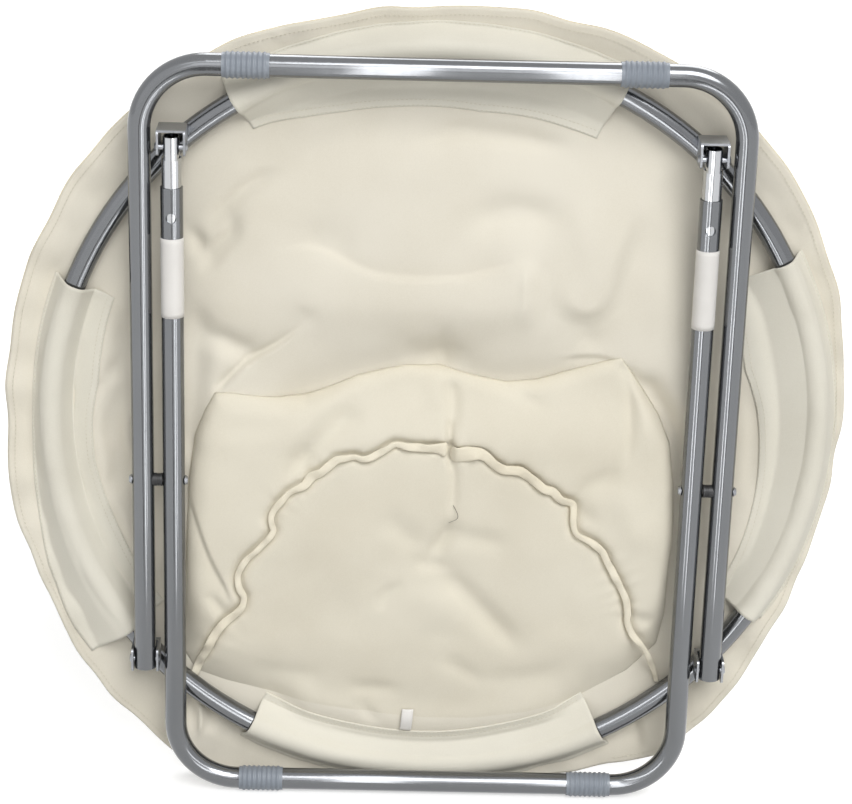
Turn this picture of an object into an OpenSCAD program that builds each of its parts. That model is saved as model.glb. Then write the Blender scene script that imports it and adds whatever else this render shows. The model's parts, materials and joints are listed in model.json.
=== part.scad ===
// Folding round lounge chair, folded flat and standing on its edge, seen from the back of the seat.
// The hoop carries a round canvas seat. Two U-shaped legs cross at a scissor pivot beside it:
// the outer leg is hinged low on the hoop, the inner leg telescopes on two slide tubes that are
// hinged high on the hoop. X runs across the chair, Z up, and -Y is the side that the legs are on.

/* [Hoop] */
// Radius of the hoop, to the middle of its tube
hoop_r = 382; // [360:1:400]
// Outside diameter of the hoop and leg tubes
tube_d = 22; // [20:0.5:24]
// Wall of the hoop and leg tubes
tube_wall = 1.3; // [1:0.1:1.5]

/* [Legs] */
// Half the width of the inner leg, to the middle of its tube
inner_half_w = 258; // [250:1:265]
// Clear gap between the inner and the outer leg tube, filled by the spacer bush
pivot_gap = 8.5; // [7:0.5:10]
// Bend radius of the leg corners, to the middle of the tube
bend_r = 64; // [50:1:75]
// How far the plane of the legs stands off the plane of the hoop
leg_offset = 30; // [29:0.5:34]
// Height of the outer leg's crossbar over the pins of the slide tubes
bar_over_slide = 80.8; // [60:0.2:88]
// Depth of the inner leg's crossbar below the lowest point of the hoop
bar_below_hoop = 4; // [4:0.5:14]
// Depth of the scissor pivot below the middle of the hoop
pivot_drop = 53; // [45:1:65]
// Length of the outer leg's tube below its hinge pin
hinge_tail = 9; // [7:0.5:9.5]
// Angle between the outer leg and the hoop when the chair is in use
open_angle = 79; // [70:1:80]

/* [Slide tubes] */
// Radial gap between a slide tube and the bore of the inner leg
slide_gap = 0.2; // [0.15:0.05:0.3]
// Wall of a slide tube
slide_wall = 1; // [0.8:0.1:1.2]
// Height of the slide tube's pin over the hoop tube that carries its bracket
slide_pin_rise = 6; // [4:0.5:7]
// Bare length of slide tube between its pin and the end of the inner leg
slide_bare = 39; // [36:1:46]
// Width of the flattened end of a slide tube
flat_w = 15.5; // [14:0.5:16]
// Length of the flattened end below its pin
flat_l = 9.5; // [8:0.5:12]
// Length of the flattened end above its pin
flat_top = 11; // [9:0.5:11.5]
// Distance of the snap hole from the end of the inner leg
snap_inset = 29; // [24:1:34]
// Diameter of the snap hole in the inner leg
snap_hole_d = 10; // [9.5:0.5:11]
// Diameter of the snap button
snap_d = 7.6; // [7:0.2:8]
// Length of a slide tube below its snap button
slide_tail = 18; // [16:1:22]

/* [Brackets and pins] */
// Sheet thickness of the brackets
sheet_t = 2.2; // [2:0.1:2.5]
// Height of a hinge bracket along the leg
hinge_bracket_h = 25; // [22:1:28]
// Height of a slide bracket along the leg
slide_bracket_h = 25; // [22:1:28]
// How far the ears of a bracket pass its pin
ear_reach = 8; // [7:0.5:9]
// Side clearance between a bracket's ears and the tube in it
ear_gap = 0.6; // [0.4:0.1:1]
// Diameter of the hinge pins
pin_d = 6; // [5:0.5:7]
// Diameter of the pins' heads
pin_head_d = 10; // [9:0.5:11]
// Thickness of the pins' heads
pin_head_t = 1.8; // [1.4:0.1:2]
// Diameter of the pivot bolts
bolt_d = 6; // [5:0.5:7]
// Diameter of the spacer bushes
bush_d = 13; // [12:0.5:15]

/* [Grips] */
// Length of a ribbed grip
grip_l = 45; // [38:1:50]
// Outside diameter of a grip over its ribs
grip_d = 26; // [25.5:0.5:27]
// Number of ribs on a grip
grip_ribs = 8; // [6:1:9]
// Straight crossbar between the outer leg's bends and its grips
outer_grip_inset = 14.5; // [1:0.5:40]
// Straight crossbar between the inner leg's bends and its grips
inner_grip_inset = 1.5; // [1:0.5:50]

/* [Seat] */
// How far the canvas rim reaches past the middle of the hoop tube
rim_out = 39; // [33:1:48]
// How far the rim is pulled to the left
rim_pull = 8; // [0:1:10]
// How far the rim spreads at its four diagonals
rim_square = 10; // [0:1:14]
// Thickness of the canvas at the rim
rim_t = 3.5; // [3:0.5:5]
// Thickness of the quilted seat inside the hoop
seat_t = 7; // [6:0.5:9]
// Depth of the slack seat behind the hoop's face
seat_dip = 17.4; // [14:0.2:18]
// Distance of the sewn line from the middle of the hoop tube
stitch_inset = 47; // [40:1:54]
// Thickness of a sleeve's cloth
sleeve_t = 1.6; // [1.2:0.1:2]
// How far a sleeve reaches past the middle of the hoop tube
sleeve_out = 15.5; // [14.5:0.5:16]
// Depth of the slack pouch that sags behind the seat
pouch_depth = 26; // [18:1:28]
// Gap between the pouch and the inner leg's tubes
pouch_gap = 9; // [7:0.5:20]
// Height of the pouch's top fold over the middle of the hoop
pouch_top = 66; // [50:1:80]
// Width of the ruffled piping round the pouch's panel
piping_w = 7; // [5:0.5:8]
// Angles from the right slide bracket to the top sleeve, and from it to the left one
top_sleeve_angles = [16.5, 9.5]; // [8:0.5:28]
// Angles from the left slide bracket to the left sleeve, and from it to the hinge bracket
left_sleeve_angles = [26.5, 4]; // [4:0.5:28]
// Angles from the right hinge bracket to the right sleeve, and from it to the slide bracket
right_sleeve_angles = [9, 19.5]; // [4:0.5:28]
// Angles from the left hinge bracket to the bottom sleeve, and from it to the right one
bottom_sleeve_angles = [21, 20]; // [8:0.5:28]

/* [Hidden] */

tube_r = tube_d / 2;
bore_r = tube_r - tube_wall;
slide_r = bore_r - slide_gap;
slide_bore_r = slide_r - slide_wall;
outer_half_w = inner_half_w + tube_d + pivot_gap;
fit_gap = 0.05;     // radial clearance of a pin in its bore
free_gap = 0.3;     // clearance between pieces that only lie beside each other
weld_gap = 0.2;     // a bracket's saddle stands this far off the hoop tube
fuse = 0.0002;      // a hair of overlap where tubes meet end to end

// Places on the hoop, as angles from +X and as heights from its middle.
hinge_at = acos(outer_half_w / hoop_r);
slide_at = acos(inner_half_w / hoop_r);
hinge_z = -hoop_r * sin(hinge_at);
slide_pin_z = hoop_r * sin(slide_at) + slide_pin_rise;
pivot_z = -pivot_drop;
inner_end_z = slide_pin_z - slide_bare;
snap_hole_z = inner_end_z - snap_inset;
outer_bar_z = slide_pin_z + bar_over_slide;
inner_bar_z = -hoop_r - bar_below_hoop;
outer_grip_x = outer_half_w - bend_r - outer_grip_inset - grip_l / 2;
inner_grip_x = inner_half_w - bend_r - inner_grip_inset - grip_l / 2;

// The linkage: how far the inner leg slides out and swings when the outer leg is at open_angle.
pin_span = slide_pin_z - hinge_z;
outer_lever = pivot_z - hinge_z;
inner_lever = slide_pin_z - pivot_z;
open_reach = sqrt(pin_span * pin_span + outer_lever * outer_lever
                  - 2 * pin_span * outer_lever * cos(open_angle));
slide_out = open_reach - inner_lever;
slide_swing = asin(outer_lever * sin(open_angle) / open_reach);
snap_z = snap_hole_z - slide_out;

floor_z = inner_bar_z - grip_d / 2;

// Snap button: it is pressed flush by the leg's bore while the chair is folded.
snap_flange_d = snap_d + 2.4;
snap_flange_t = 1.2;
snap_press = 2.5;   // how far the button is pressed in at rest
snap_flange_y = sqrt(slide_bore_r * slide_bore_r - pow(snap_flange_d / 2, 2)) - free_gap - snap_press;
snap_bore_gap = 0.2;
spring_t = 0.8;
spring_w = 6;
spring_l = 26;
spring_lean = 3;
spring_seat = 12;   // length of spring that bears on the button

// Brackets: how deep their edges are let in round the hoop tube, and the room in them.
hinge_foot_y = tube_r - 4;
slide_foot_y = tube_r - 7;
flat_gap = 4;       // on each side of the slide tube's flattened end
web_gap = 4.2;      // between the flattened end and the web over it
web_inset = 2;
ear_corner = 4;
pin_tip = 0.5;      // a pin's shank goes this far into its heads

// Pivot bolts and bushes.
bolt_head_d = bolt_d + 4;
bolt_head_t = 2.6;
bolt_head_top_d = bolt_d + 1;
bush_groove_w = 0.9;
bush_groove_t = 0.8;

// Seat cloth. Depths are measured along Y from the plane of the hoop.
rim_y = tube_r + 0.4;               // back face of the cover where it lies on the hoop
rim_curl = 3;                       // the loose rim leans back towards the legs
rim_curl_l = 20;                    // the least width of loose rim that leans back fully
rim_r = hoop_r + rim_out;
stitch_r = hoop_r - stitch_inset;
cover_out_r = hoop_r + sleeve_out;
inside_tube_r = hoop_r - tube_r - 3;
slack_edge_r = hoop_r - 24;
slack_r = slack_edge_r - 108;       // the cover is fully slack inside this radius
lobe = [[235, 18, 25], [308, 10, 13]];  // floor corners of the rim: angle, spread, reach
cover_sides = 44;
cover_rings = 10;
front_rings = 5;
// Main folds of the slack upper seat: from x, z to x, z, height and half width.
folds = [
  [-150, 170, 60, 150, 7, 26], [60, 150, 170, 175, 6, 24], [-200, 120, -120, 190, 5, 20],
  [120, 215, 165, 120, 6, 20], [-110, 235, 40, 262, 4, 24], [-60, 105, 90, 100, 5, 20]
];
fold_floor_z = pouch_top + 14;
fold_fade = [200, 110, 40];         // radius where the folds fade, over what width, over what height

// Heights of tubes that meet end to end are kept to a thousandth, so that their faces match.
function to_micron(v) = round(v * 1000) / 1000;
function gauss(d, w) = exp(-d * d / (w * w));
function smooth(t) = let (c = min(1, max(0, t))) c * c * (3 - 2 * c);
function seg_dist(p, a, b) =
  let (ab = b - a, t = min(1, max(0, (p - a) * ab / (ab * ab)))) norm(p - a - t * ab);

// Rim radius at angle a, spread where the cloth meets the floor and cut by the floor.
function rim_at(a) =
  let (free = rim_r - rim_pull * cos(a) + rim_square * pow(sin(2 * a), 2)
              + lobe[0][2] * gauss(a - lobe[0][0], lobe[0][1])
              + lobe[1][2] * gauss(a - lobe[1][0], lobe[1][1]))
  sin(a) < -0.5 ? min(free, floor_z / sin(a)) : free;

function fold_height(x, z) =
  let (p = [x, z], edge = 1 - smooth((norm(p) - fold_fade[0]) / fold_fade[1]))
  edge * smooth((z - fold_floor_z) / fold_fade[2])
  * max([for (f = folds) f[4] * gauss(seg_dist(p, [f[0], f[1]], [f[2], f[3]]), f[5])]);

function slack(r) = smooth((slack_edge_r - r) / (slack_edge_r - slack_r));
function cover_back(x, z) = rim_y - seat_dip * slack(norm([x, z])) - fold_height(x, z);
function cover_front(x, z) =
  let (s = slack(norm([x, z]))) rim_y + rim_t - (seat_dip + rim_t - seat_t) * s;

function back_radii(a) = concat(
  [for (i = [1:cover_rings]) stitch_r * i / cover_rings],
  [inside_tube_r, cover_out_r, rim_at(a)]);
function front_radii(a) = concat(
  [for (i = [1:front_rings]) stitch_r * i / front_rings], [hoop_r, cover_out_r, rim_at(a)]);
function rim_shift(i, radii) =
  i == len(radii) - 1 ? rim_curl * smooth((radii[i] - cover_out_r) / rim_curl_l) : 0;

// Pouch: a slack bag behind the lower seat, bounded by a broad arch and by the hoop's sleeves.
pouch_c = -110;                     // height of the middle of the pouch
pouch_half_w = inner_half_w - tube_r - pouch_gap;
pouch_hoop_r = stitch_r - 9;        // the pouch stays inside this radius
pouch_top_h = pouch_top - pouch_c;
pouch_power = 2.6;
pouch_back_y = rim_y - seat_dip - free_gap;
pouch_sides = 48;
pouch_rings = 13;
// Folds of the pouch: from x, z to x, z, height and half width. A negative height is a crease.
pouch_folds = [
  [-190, 40, -40, 48, 4, 22], [-40, 48, 150, 52, 4, 22], [-150, -20, -60, 15, -3, 20],
  [60, 5, 170, -20, -3, 22], [-60, -90, 40, -120, 3, 24], [90, -130, 150, -230, 3, 26],
  [-130, -150, -170, -250, -2.5, 24], [0, -170, 60, -260, -2.5, 26]
];

function pouch_edge(a) =
  let (arch = 1 / pow(pow(abs(cos(a)) / pouch_half_w, pouch_power)
                      + pow(abs(sin(a)) / pouch_top_h, pouch_power), 1 / pouch_power),
       across = pouch_c * cos(a),
       ring = sqrt(pouch_hoop_r * pouch_hoop_r - across * across) - pouch_c * sin(a),
       side = pouch_half_w / max(0.001, abs(cos(a))))
  sin(a) > 0 ? min(arch, ring) : min(side, ring);
function pouch_share(x, z) = norm([x, z - pouch_c]) / pouch_edge(atan2(z - pouch_c, x));
function pouch_front(x, z) =
  let (s = min(1, pouch_share(x, z)), body = pow(1 - pow(s, 5), 0.7), p = [x, z],
       crumple = [for (f = pouch_folds)
                  f[4] * gauss(seg_dist(p, [f[0], f[1]], [f[2], f[3]]), f[5])])
  pouch_back_y - 2 * (1 - s) - (pouch_depth - 6) * body - (max(crumple) + min(crumple)) * body;

// Ruffled piping: an arch over the pouch's panel, with a ripple along it.
piping_c = -200;
piping_a = pouch_half_w - 40;
piping_b = 184;
piping_from = -12;
piping_steps = 92;
piping_t = 4;
piping_seat = 0.8;
ripples = 15;
ripple_h = 5;
function piping_point(u) =
  let (a = piping_a + 110 * max(0, -sin(u)), k = ripple_h * sin(u * ripples))
  [-(a + k) * cos(u), piping_c + (piping_b + k) * sin(u)];

hole_faces = 48;
$fn = 96;

// ---------- helpers ----------

// Puts a piece modelled about the middle of the hoop on the floor, centred on the whole chair.
module standing() {
  reach = [for (i = [0:cover_sides - 1]) let (a = 360 * i / cover_sides) rim_at(a) * cos(a)];
  back_y = -(leg_offset + grip_d / 2);
  front_y = rim_y + rim_t;
  translate([-(max(reach) + min(reach)) / 2, -(back_y + front_y) / 2, -floor_z]) children();
}

// Mirrors a right-hand piece to the left side.
module on_side(side) {
  if (side < 0) mirror([1, 0, 0]) children();
  else children();
}

// A ring in the plane of the hoop, from a profile in radius and height towards the legs.
module about_hoop(from = 0, span = 360) {
  rotate([90, 0, 0]) rotate([0, 0, from]) rotate_extrude(angle = span) children();
}

// A cylinder along X from x0 to x1.
module rod_x(d, x0, x1) {
  translate([x0, 0, 0]) rotate([0, 90, 0]) cylinder(d = d, h = x1 - x0);
}

module tube_section() {
  difference() {
    circle(r = tube_r);
    circle(r = bore_r);
  }
}

// A U-shaped leg: two straight tubes from end_z to the bends and a crossbar at bar_z.
module u_tube(half_w, open_z, cross_z) {
  end_z = to_micron(open_z);
  bar_z = to_micron(cross_z);
  up = bar_z > end_z ? 1 : -1;
  bend_z = bar_z - up * bend_r;
  straight = half_w - bend_r;
  for (side = [-1, 1]) {
    translate([side * half_w, 0, up > 0 ? end_z : bend_z - fuse])
      linear_extrude(abs(bend_z - end_z) + fuse) tube_section();
    translate([side * straight, 0, bend_z])
      rotate([90, 0, 0]) rotate([0, 0, up > 0 ? (side > 0 ? 0 : 90) : (side > 0 ? 270 : 180)])
        rotate_extrude(angle = 90) translate([bend_r, 0]) tube_section();
  }
  translate([-straight - fuse, 0, bar_z])
    rotate([0, 90, 0]) linear_extrude(2 * straight + 2 * fuse) tube_section();
}

module in_leg_plane() {
  translate([0, -leg_offset, 0]) children();
}

// ---------- hoop and its fittings ----------

module hoop_tube() {
  color("gray") standing() about_hoop() translate([hoop_r, 0]) tube_section();
}

module hoop_clearance() {
  about_hoop() translate([hoop_r, 0]) circle(r = tube_r + weld_gap);
}

// Outline of a bracket's ears in plan, open towards the legs, with the corners rounded.
module ear_profile(depth, h) {
  c = ear_corner;
  translate([0, -h / 2]) difference() {
    square([depth, h]);
    translate([depth - c, h - c]) difference() {
      square(c + 1);
      circle(r = c);
    }
    translate([depth - c, -1]) difference() {
      square(c + 1);
      translate([0, c + 1]) circle(r = c);
    }
  }
}

// A pair of ears at x, from the hoop tube to past the pin.
module ears(inner_w, h, foot_y) {
  depth = leg_offset + ear_reach - foot_y;
  for (side = [-1, 1])
    translate([side * (inner_w + sheet_t) / 2, 0, 0])
      rotate([0, 0, -90]) translate([foot_y, 0, 0])
        rotate([90, 0, 0]) translate([0, 0, -sheet_t / 2]) linear_extrude(sheet_t)
          ear_profile(depth, h);
}

hinge_ear_w = tube_d + 2 * ear_gap;
slide_ear_w = flat_w + 2 * flat_gap;
hinge_web_y = tube_r + weld_gap + sheet_t;

module hinge_bracket(side) {
  color("silver") standing() on_side(side) difference() {
    translate([outer_half_w, 0, hinge_z]) {
      ears(hinge_ear_w, hinge_bracket_h, hinge_foot_y);
      translate([-hinge_ear_w / 2 - sheet_t, -hinge_web_y, -hinge_bracket_h / 2])
        cube([hinge_ear_w + 2 * sheet_t, hinge_web_y - hinge_foot_y, hinge_bracket_h]);
    }
    hoop_clearance();
    translate([outer_half_w, -leg_offset, hinge_z])
      rod_x(pin_d + 2 * fit_gap, -hinge_ear_w, hinge_ear_w, $fn = hole_faces);
  }
}

module slide_bracket(side) {
  web_z = flat_top + web_gap;
  web_y = leg_offset + ear_reach - web_inset;
  mid_z = web_z + sheet_t - slide_bracket_h / 2;
  color("silver") standing() on_side(side) difference() {
    translate([inner_half_w, 0, slide_pin_z]) {
      translate([0, 0, mid_z]) ears(slide_ear_w, slide_bracket_h, slide_foot_y);
      translate([-slide_ear_w / 2 - sheet_t, -web_y, web_z])
        cube([slide_ear_w + 2 * sheet_t, web_y - slide_foot_y, sheet_t]);
    }
    hoop_clearance();
    translate([inner_half_w, -leg_offset, slide_pin_z])
      rod_x(pin_d + 2 * fit_gap, -slide_ear_w, slide_ear_w, $fn = hole_faces);
  }
}

// A headed pin along X through ears of the given clear width.
module headed_pin(inner_w) {
  half = inner_w / 2 + sheet_t;
  rod_x(pin_d, -half - pin_tip, half + pin_tip, $fn = hole_faces);
  for (end = [-1, 1])
    translate([end * (half + fit_gap), 0, 0]) rotate([0, 90 * end, 0])
      cylinder(d1 = pin_head_d, d2 = pin_head_d - 3, h = pin_head_t, $fn = hole_faces);
}

module hinge_pin(side) {
  color("lightgray") standing() in_leg_plane() translate([side * outer_half_w, 0, hinge_z])
    headed_pin(hinge_ear_w);
}

module slide_pin(side) {
  color("lightgray") standing() in_leg_plane() translate([side * inner_half_w, 0, slide_pin_z])
    headed_pin(slide_ear_w);
}

// ---------- canvas seat ----------

// The cover is one closed sheet: rings of points over the back face, then over the front face.
module cover_sheet() {
  n = cover_sides;
  back = [for (i = [0:cover_rings + 2]) for (j = [0:n - 1])
    let (a = 360 * j / n, radii = back_radii(a), x = radii[i] * cos(a), z = radii[i] * sin(a))
    [x, cover_back(x, z) - rim_shift(i, radii), max(z, floor_z)]];
  front = [for (i = [0:front_rings + 2]) for (j = [0:n - 1])
    let (a = 360 * j / n, radii = front_radii(a), x = radii[i] * cos(a), z = radii[i] * sin(a))
    [x, cover_front(x, z) - rim_shift(i, radii), max(z, floor_z)]];
  points = concat(back, front, [[0, cover_back(0, 0), 0]], [[0, cover_front(0, 0), 0]]);
  f0 = len(back);
  back_mid = len(points) - 2;
  front_mid = len(points) - 1;
  back_rim = f0 - n;
  front_rim = f0 + len(front) - n;
  faces = concat(
    [for (j = [0:n - 1]) [back_mid, (j + 1) % n, j]],
    [for (i = [0:cover_rings + 1]) for (j = [0:n - 1]) let (p = i * n, q = p + n, k = (j + 1) % n)
      each [[p + j, q + k, q + j], [p + j, p + k, q + k]]],
    [for (j = [0:n - 1]) [front_mid, f0 + j, f0 + (j + 1) % n]],
    [for (i = [0:front_rings + 1]) for (j = [0:n - 1]) let (p = f0 + i * n, q = p + n, k = (j + 1) % n)
      each [[p + j, q + j, q + k], [p + j, q + k, p + k]]],
    [for (j = [0:n - 1]) let (k = (j + 1) % n)
      each [[back_rim + j, front_rim + k, front_rim + j], [back_rim + j, back_rim + k, front_rim + k]]]);
  polyhedron(points, faces);
}

module seat_cover() {
  color("antiquewhite") standing() cover_sheet();
}

module pouch_bag() {
  n = pouch_sides;
  front = [for (i = [1:pouch_rings]) for (j = [0:n - 1])
    let (a = 360 * j / n, r = pouch_edge(a) * sin(90 * i / pouch_rings),
         x = r * cos(a), z = pouch_c + r * sin(a))
    [x, i == pouch_rings ? pouch_back_y - 1 : pouch_front(x, z), z]];
  back = [for (j = [0:n - 1]) let (a = 360 * j / n, r = pouch_edge(a))
    [r * cos(a), pouch_back_y, pouch_c + r * sin(a)]];
  points = concat(front, back, [[0, pouch_front(0, pouch_c), pouch_c], [0, pouch_back_y, pouch_c]]);
  rim = len(front) - n;
  b0 = len(front);
  front_mid = len(points) - 2;
  back_mid = len(points) - 1;
  faces = concat(
    [for (j = [0:n - 1]) [front_mid, (j + 1) % n, j]],
    [for (i = [0:pouch_rings - 2]) for (j = [0:n - 1]) let (p = i * n, q = p + n, k = (j + 1) % n)
      each [[p + j, q + k, q + j], [p + j, p + k, q + k]]],
    [for (j = [0:n - 1]) let (k = (j + 1) % n)
      each [[rim + j, b0 + k, b0 + j], [rim + j, rim + k, b0 + k]]],
    [for (j = [0:n - 1]) [back_mid, b0 + j, b0 + (j + 1) % n]]);
  polyhedron(points, faces);
}

module seat_pouch() {
  color("antiquewhite") standing() pouch_bag();
}

// The piping is a flat rippled band, swept along its arch over the face of the pouch.
module pouch_piping() {
  u0 = piping_from;
  du = (180 - 2 * piping_from) / piping_steps;
  rings = [for (i = [0:piping_steps])
    let (u = u0 + du * i, p = piping_point(u), d = piping_point(u + 0.5) - piping_point(u - 0.5),
         t = d / norm(d), side = [-t[1], t[0]] * piping_w / 2,
         y = pouch_front(p[0], p[1]) - piping_seat)
    [[p - side, y], [p - side * 0.7, y - piping_t], [p + side * 0.7, y - piping_t], [p + side, y]]];
  points = [for (ring = rings) for (q = ring) [q[0][0], q[1], q[0][1]]];
  last = 4 * piping_steps;
  faces = concat(
    [[0, 2, 1], [0, 3, 2], [last, last + 1, last + 2], [last, last + 2, last + 3]],
    [for (i = [0:piping_steps - 1]) for (j = [0:3])
      let (p = 4 * i + j, q = 4 * i + (j + 1) % 4)
      each [[p, q + 4, p + 4], [p, q, q + 4]]]);
  color("ivory") standing() polyhedron(points, faces);
}

// A sleeve's cloth in section: sewn to the cover inside the hoop, over the tube, to the rim.
module sleeve_section() {
  over_r = tube_r + free_gap;
  inner_foot = [stitch_r, -(rim_y - seat_dip * slack(stitch_r)) + free_gap];
  outer_foot = [cover_out_r, -rim_y + free_gap];
  arc_steps = 14;
  // Where the straight cloth from a foot touches a circle of radius r about the tube.
  function touch(foot, r, way) =
    let (dx = way * (foot[0] - hoop_r), d = norm([dx, foot[1]]))
    acos(r / d) + atan2(foot[1], dx);
  function face(foot_in, foot_out, r) =
    let (a0 = touch(foot_in, r, -1), a1 = 180 - touch(foot_out, r, 1))
    concat([foot_in],
           [for (i = [0:arc_steps]) let (a = a0 + (a1 - a0) * i / arc_steps)
             [hoop_r - r * cos(a), r * sin(a)]],
           [foot_out]);
  under = face(inner_foot, outer_foot, over_r);
  over = face(inner_foot + [0, sleeve_t], outer_foot + [0, sleeve_t], over_r + sleeve_t);
  polygon(concat(under, [for (i = [len(over) - 1:-1:0]) over[i]]));
}

module sleeve(from, to) {
  color("antiquewhite") standing() about_hoop(from, to - from) sleeve_section();
}

module sleeve_top() {
  sleeve(slide_at + top_sleeve_angles[0], 180 - slide_at - top_sleeve_angles[1]);
}

module sleeve_left() {
  sleeve(180 - slide_at + left_sleeve_angles[0], 180 + hinge_at - left_sleeve_angles[1]);
}

module sleeve_right() {
  sleeve(-hinge_at + right_sleeve_angles[0], slide_at - right_sleeve_angles[1]);
}

module sleeve_bottom() {
  sleeve(180 + hinge_at + bottom_sleeve_angles[0], 360 - hinge_at - bottom_sleeve_angles[1]);
}

// ---------- legs ----------

module ribbed_grip(x, bar_z) {
  clear_r = tube_r + 0.1;
  valley_r = grip_d / 2 - 1.1;
  rib = grip_l / (grip_ribs + 1);
  wave = [for (i = [0:grip_ribs * 8])
    [valley_r + (grip_d / 2 - valley_r) * (1 - cos(360 * i / 8)) / 2,
     -grip_l / 2 + rib / 2 + rib * i / 8]];
  translate([x, -leg_offset, bar_z]) rotate([0, 90, 0]) rotate_extrude()
    polygon(concat([[clear_r, -grip_l / 2], [valley_r, -grip_l / 2]], wave,
                   [[valley_r, grip_l / 2], [clear_r, grip_l / 2]]));
}

module outer_leg_tube() {
  color("slategray") standing() in_leg_plane() difference() {
    u_tube(outer_half_w, hinge_z - hinge_tail, outer_bar_z);
    for (side = [-1, 1]) {
      translate([side * outer_half_w, 0, hinge_z])
        rod_x(pin_d + 2 * fit_gap, -tube_d, tube_d, $fn = hole_faces);
      translate([side * outer_half_w, 0, pivot_z])
        rod_x(bolt_d + 2 * fit_gap, -tube_d, tube_d, $fn = hole_faces);
    }
  }
}

module outer_grip(side) {
  color("lightslategray") standing() ribbed_grip(side * outer_grip_x, outer_bar_z);
}

// The bolt is fixed in the outer leg and stops just short of the inner leg's tube.
module pivot_bolt(side) {
  out_x = outer_half_w + tube_r;
  end_x = inner_half_w + tube_r + free_gap;
  color("lightgray") standing() on_side(side) in_leg_plane() translate([0, 0, pivot_z]) {
    rod_x(bolt_d, end_x, out_x + pin_tip, $fn = hole_faces);
    translate([out_x + weld_gap, 0, 0]) rotate([0, 90, 0])
      cylinder(d1 = bolt_head_d, d2 = bolt_head_top_d, h = bolt_head_t, $fn = hole_faces);
  }
}

module spacer_bush(side) {
  end_x = inner_half_w + tube_r + free_gap;
  groove_x = pivot_gap / 4;
  color("black") standing() on_side(side) in_leg_plane() difference() {
    translate([0, 0, pivot_z]) rod_x(bush_d, end_x, outer_half_w);
    translate([0, 0, pivot_z]) rod_x(bolt_d + 2 * fit_gap, end_x - 1, outer_half_w + 1, $fn = hole_faces);
    for (k = [1, 2]) translate([end_x + k * groove_x, 0, pivot_z]) rotate([0, 90, 0])
      difference() {
        cylinder(d = bush_d + 2, h = bush_groove_w);
        translate([0, 0, -1]) cylinder(d = bush_d - 2 * bush_groove_t, h = bush_groove_w + 2);
      }
    translate([outer_half_w, 0, pivot_z - bush_d])
      cylinder(r = tube_r + fit_gap, h = 2 * bush_d);
  }
}

module inner_leg_tube() {
  color("slategray") standing() in_leg_plane() difference() {
    u_tube(inner_half_w, inner_end_z, inner_bar_z);
    for (side = [-1, 1]) {
      translate([side * inner_half_w, 0, pivot_z])
        rod_x(bolt_d + 2 * fit_gap, -tube_d, tube_d, $fn = hole_faces);
      translate([side * inner_half_w, 0, snap_hole_z])
        rotate([90, 0, 0]) cylinder(d = snap_hole_d, h = tube_d, $fn = hole_faces);
    }
  }
}

module inner_grip(side) {
  color("lightslategray") standing() ribbed_grip(side * inner_grip_x, inner_bar_z);
}

// The nut end of the scissor pivot: a capped stud through the inner leg.
module pivot_nut(side) {
  in_x = inner_half_w - tube_r;
  color("lightgray") standing() on_side(side) in_leg_plane() translate([0, 0, pivot_z]) {
    rod_x(bolt_d, in_x - pin_tip, inner_half_w + tube_r - free_gap, $fn = hole_faces);
    translate([in_x - weld_gap, 0, 0]) rotate([0, -90, 0])
      cylinder(d1 = bolt_head_d, d2 = bolt_head_top_d, h = bolt_head_t, $fn = hole_faces);
  }
}

// ---------- slide tubes and snap buttons ----------

// The flattened end of a slide tube in section: its outside shrunk by inset.
module flat_section(inset) {
  flat_d = flat_w + (PI * 2 * slide_r - PI * flat_w) / 2;
  square([flat_w - 2 * inset, flat_d - flat_w], center = true);
  for (end = [-1, 1]) translate([0, end * (flat_d - flat_w) / 2]) circle(d = flat_w - 2 * inset);
}

module slide_tube(side) {
  shoulder_z = slide_pin_z - flat_l;
  end_z = snap_z - slide_tail;
  color("gainsboro") standing() in_leg_plane() translate([side * inner_half_w, 0, 0])
    difference() {
      union() {
        translate([0, 0, end_z]) linear_extrude(shoulder_z - end_z) difference() {
          circle(r = slide_r);
          circle(r = slide_bore_r);
        }
        translate([0, 0, shoulder_z - 2]) linear_extrude(2 + flat_l + flat_top) difference() {
          flat_section(0);
          flat_section(slide_wall);
        }
        translate([0, 0, shoulder_z - 2]) linear_extrude(2) difference() {
          intersection() {
            union() {
              flat_section(0);
              circle(r = slide_r);
            }
            circle(r = slide_r + slide_wall);
          }
          circle(d = flat_w - 2 * slide_wall);
        }
      }
      translate([0, 0, slide_pin_z])
        rod_x(pin_d + 2 * fit_gap, -tube_d, tube_d, $fn = hole_faces);
      translate([0, 0, snap_z]) rotate([90, 0, 0])
        cylinder(d = snap_d + 2 * snap_bore_gap, h = tube_d, $fn = hole_faces);
    }
}

// A V-shaped leaf spring that lies on the back wall of the slide tube and carries the button.
module snap_spring(side) {
  back_y = sqrt(pow(slide_bore_r, 2) - pow(spring_w / 2, 2)) - free_gap;
  front_y = -snap_flange_y + snap_flange_t + free_gap;
  seat = spring_seat / 2;
  color("dimgray") standing() in_leg_plane() translate([side * inner_half_w, 0, snap_z])
    rotate([0, -90, 0]) linear_extrude(spring_w, center = true)
      polygon([
        [seat, front_y], [seat, front_y + spring_t], [-seat, front_y + spring_t],
        [-spring_l / 2, back_y - spring_t], [spring_l / 2, back_y - spring_t],
        [spring_l / 2, back_y], [-spring_l / 2 - spring_lean, back_y], [-seat - spring_t, front_y]
      ]);
}

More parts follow.
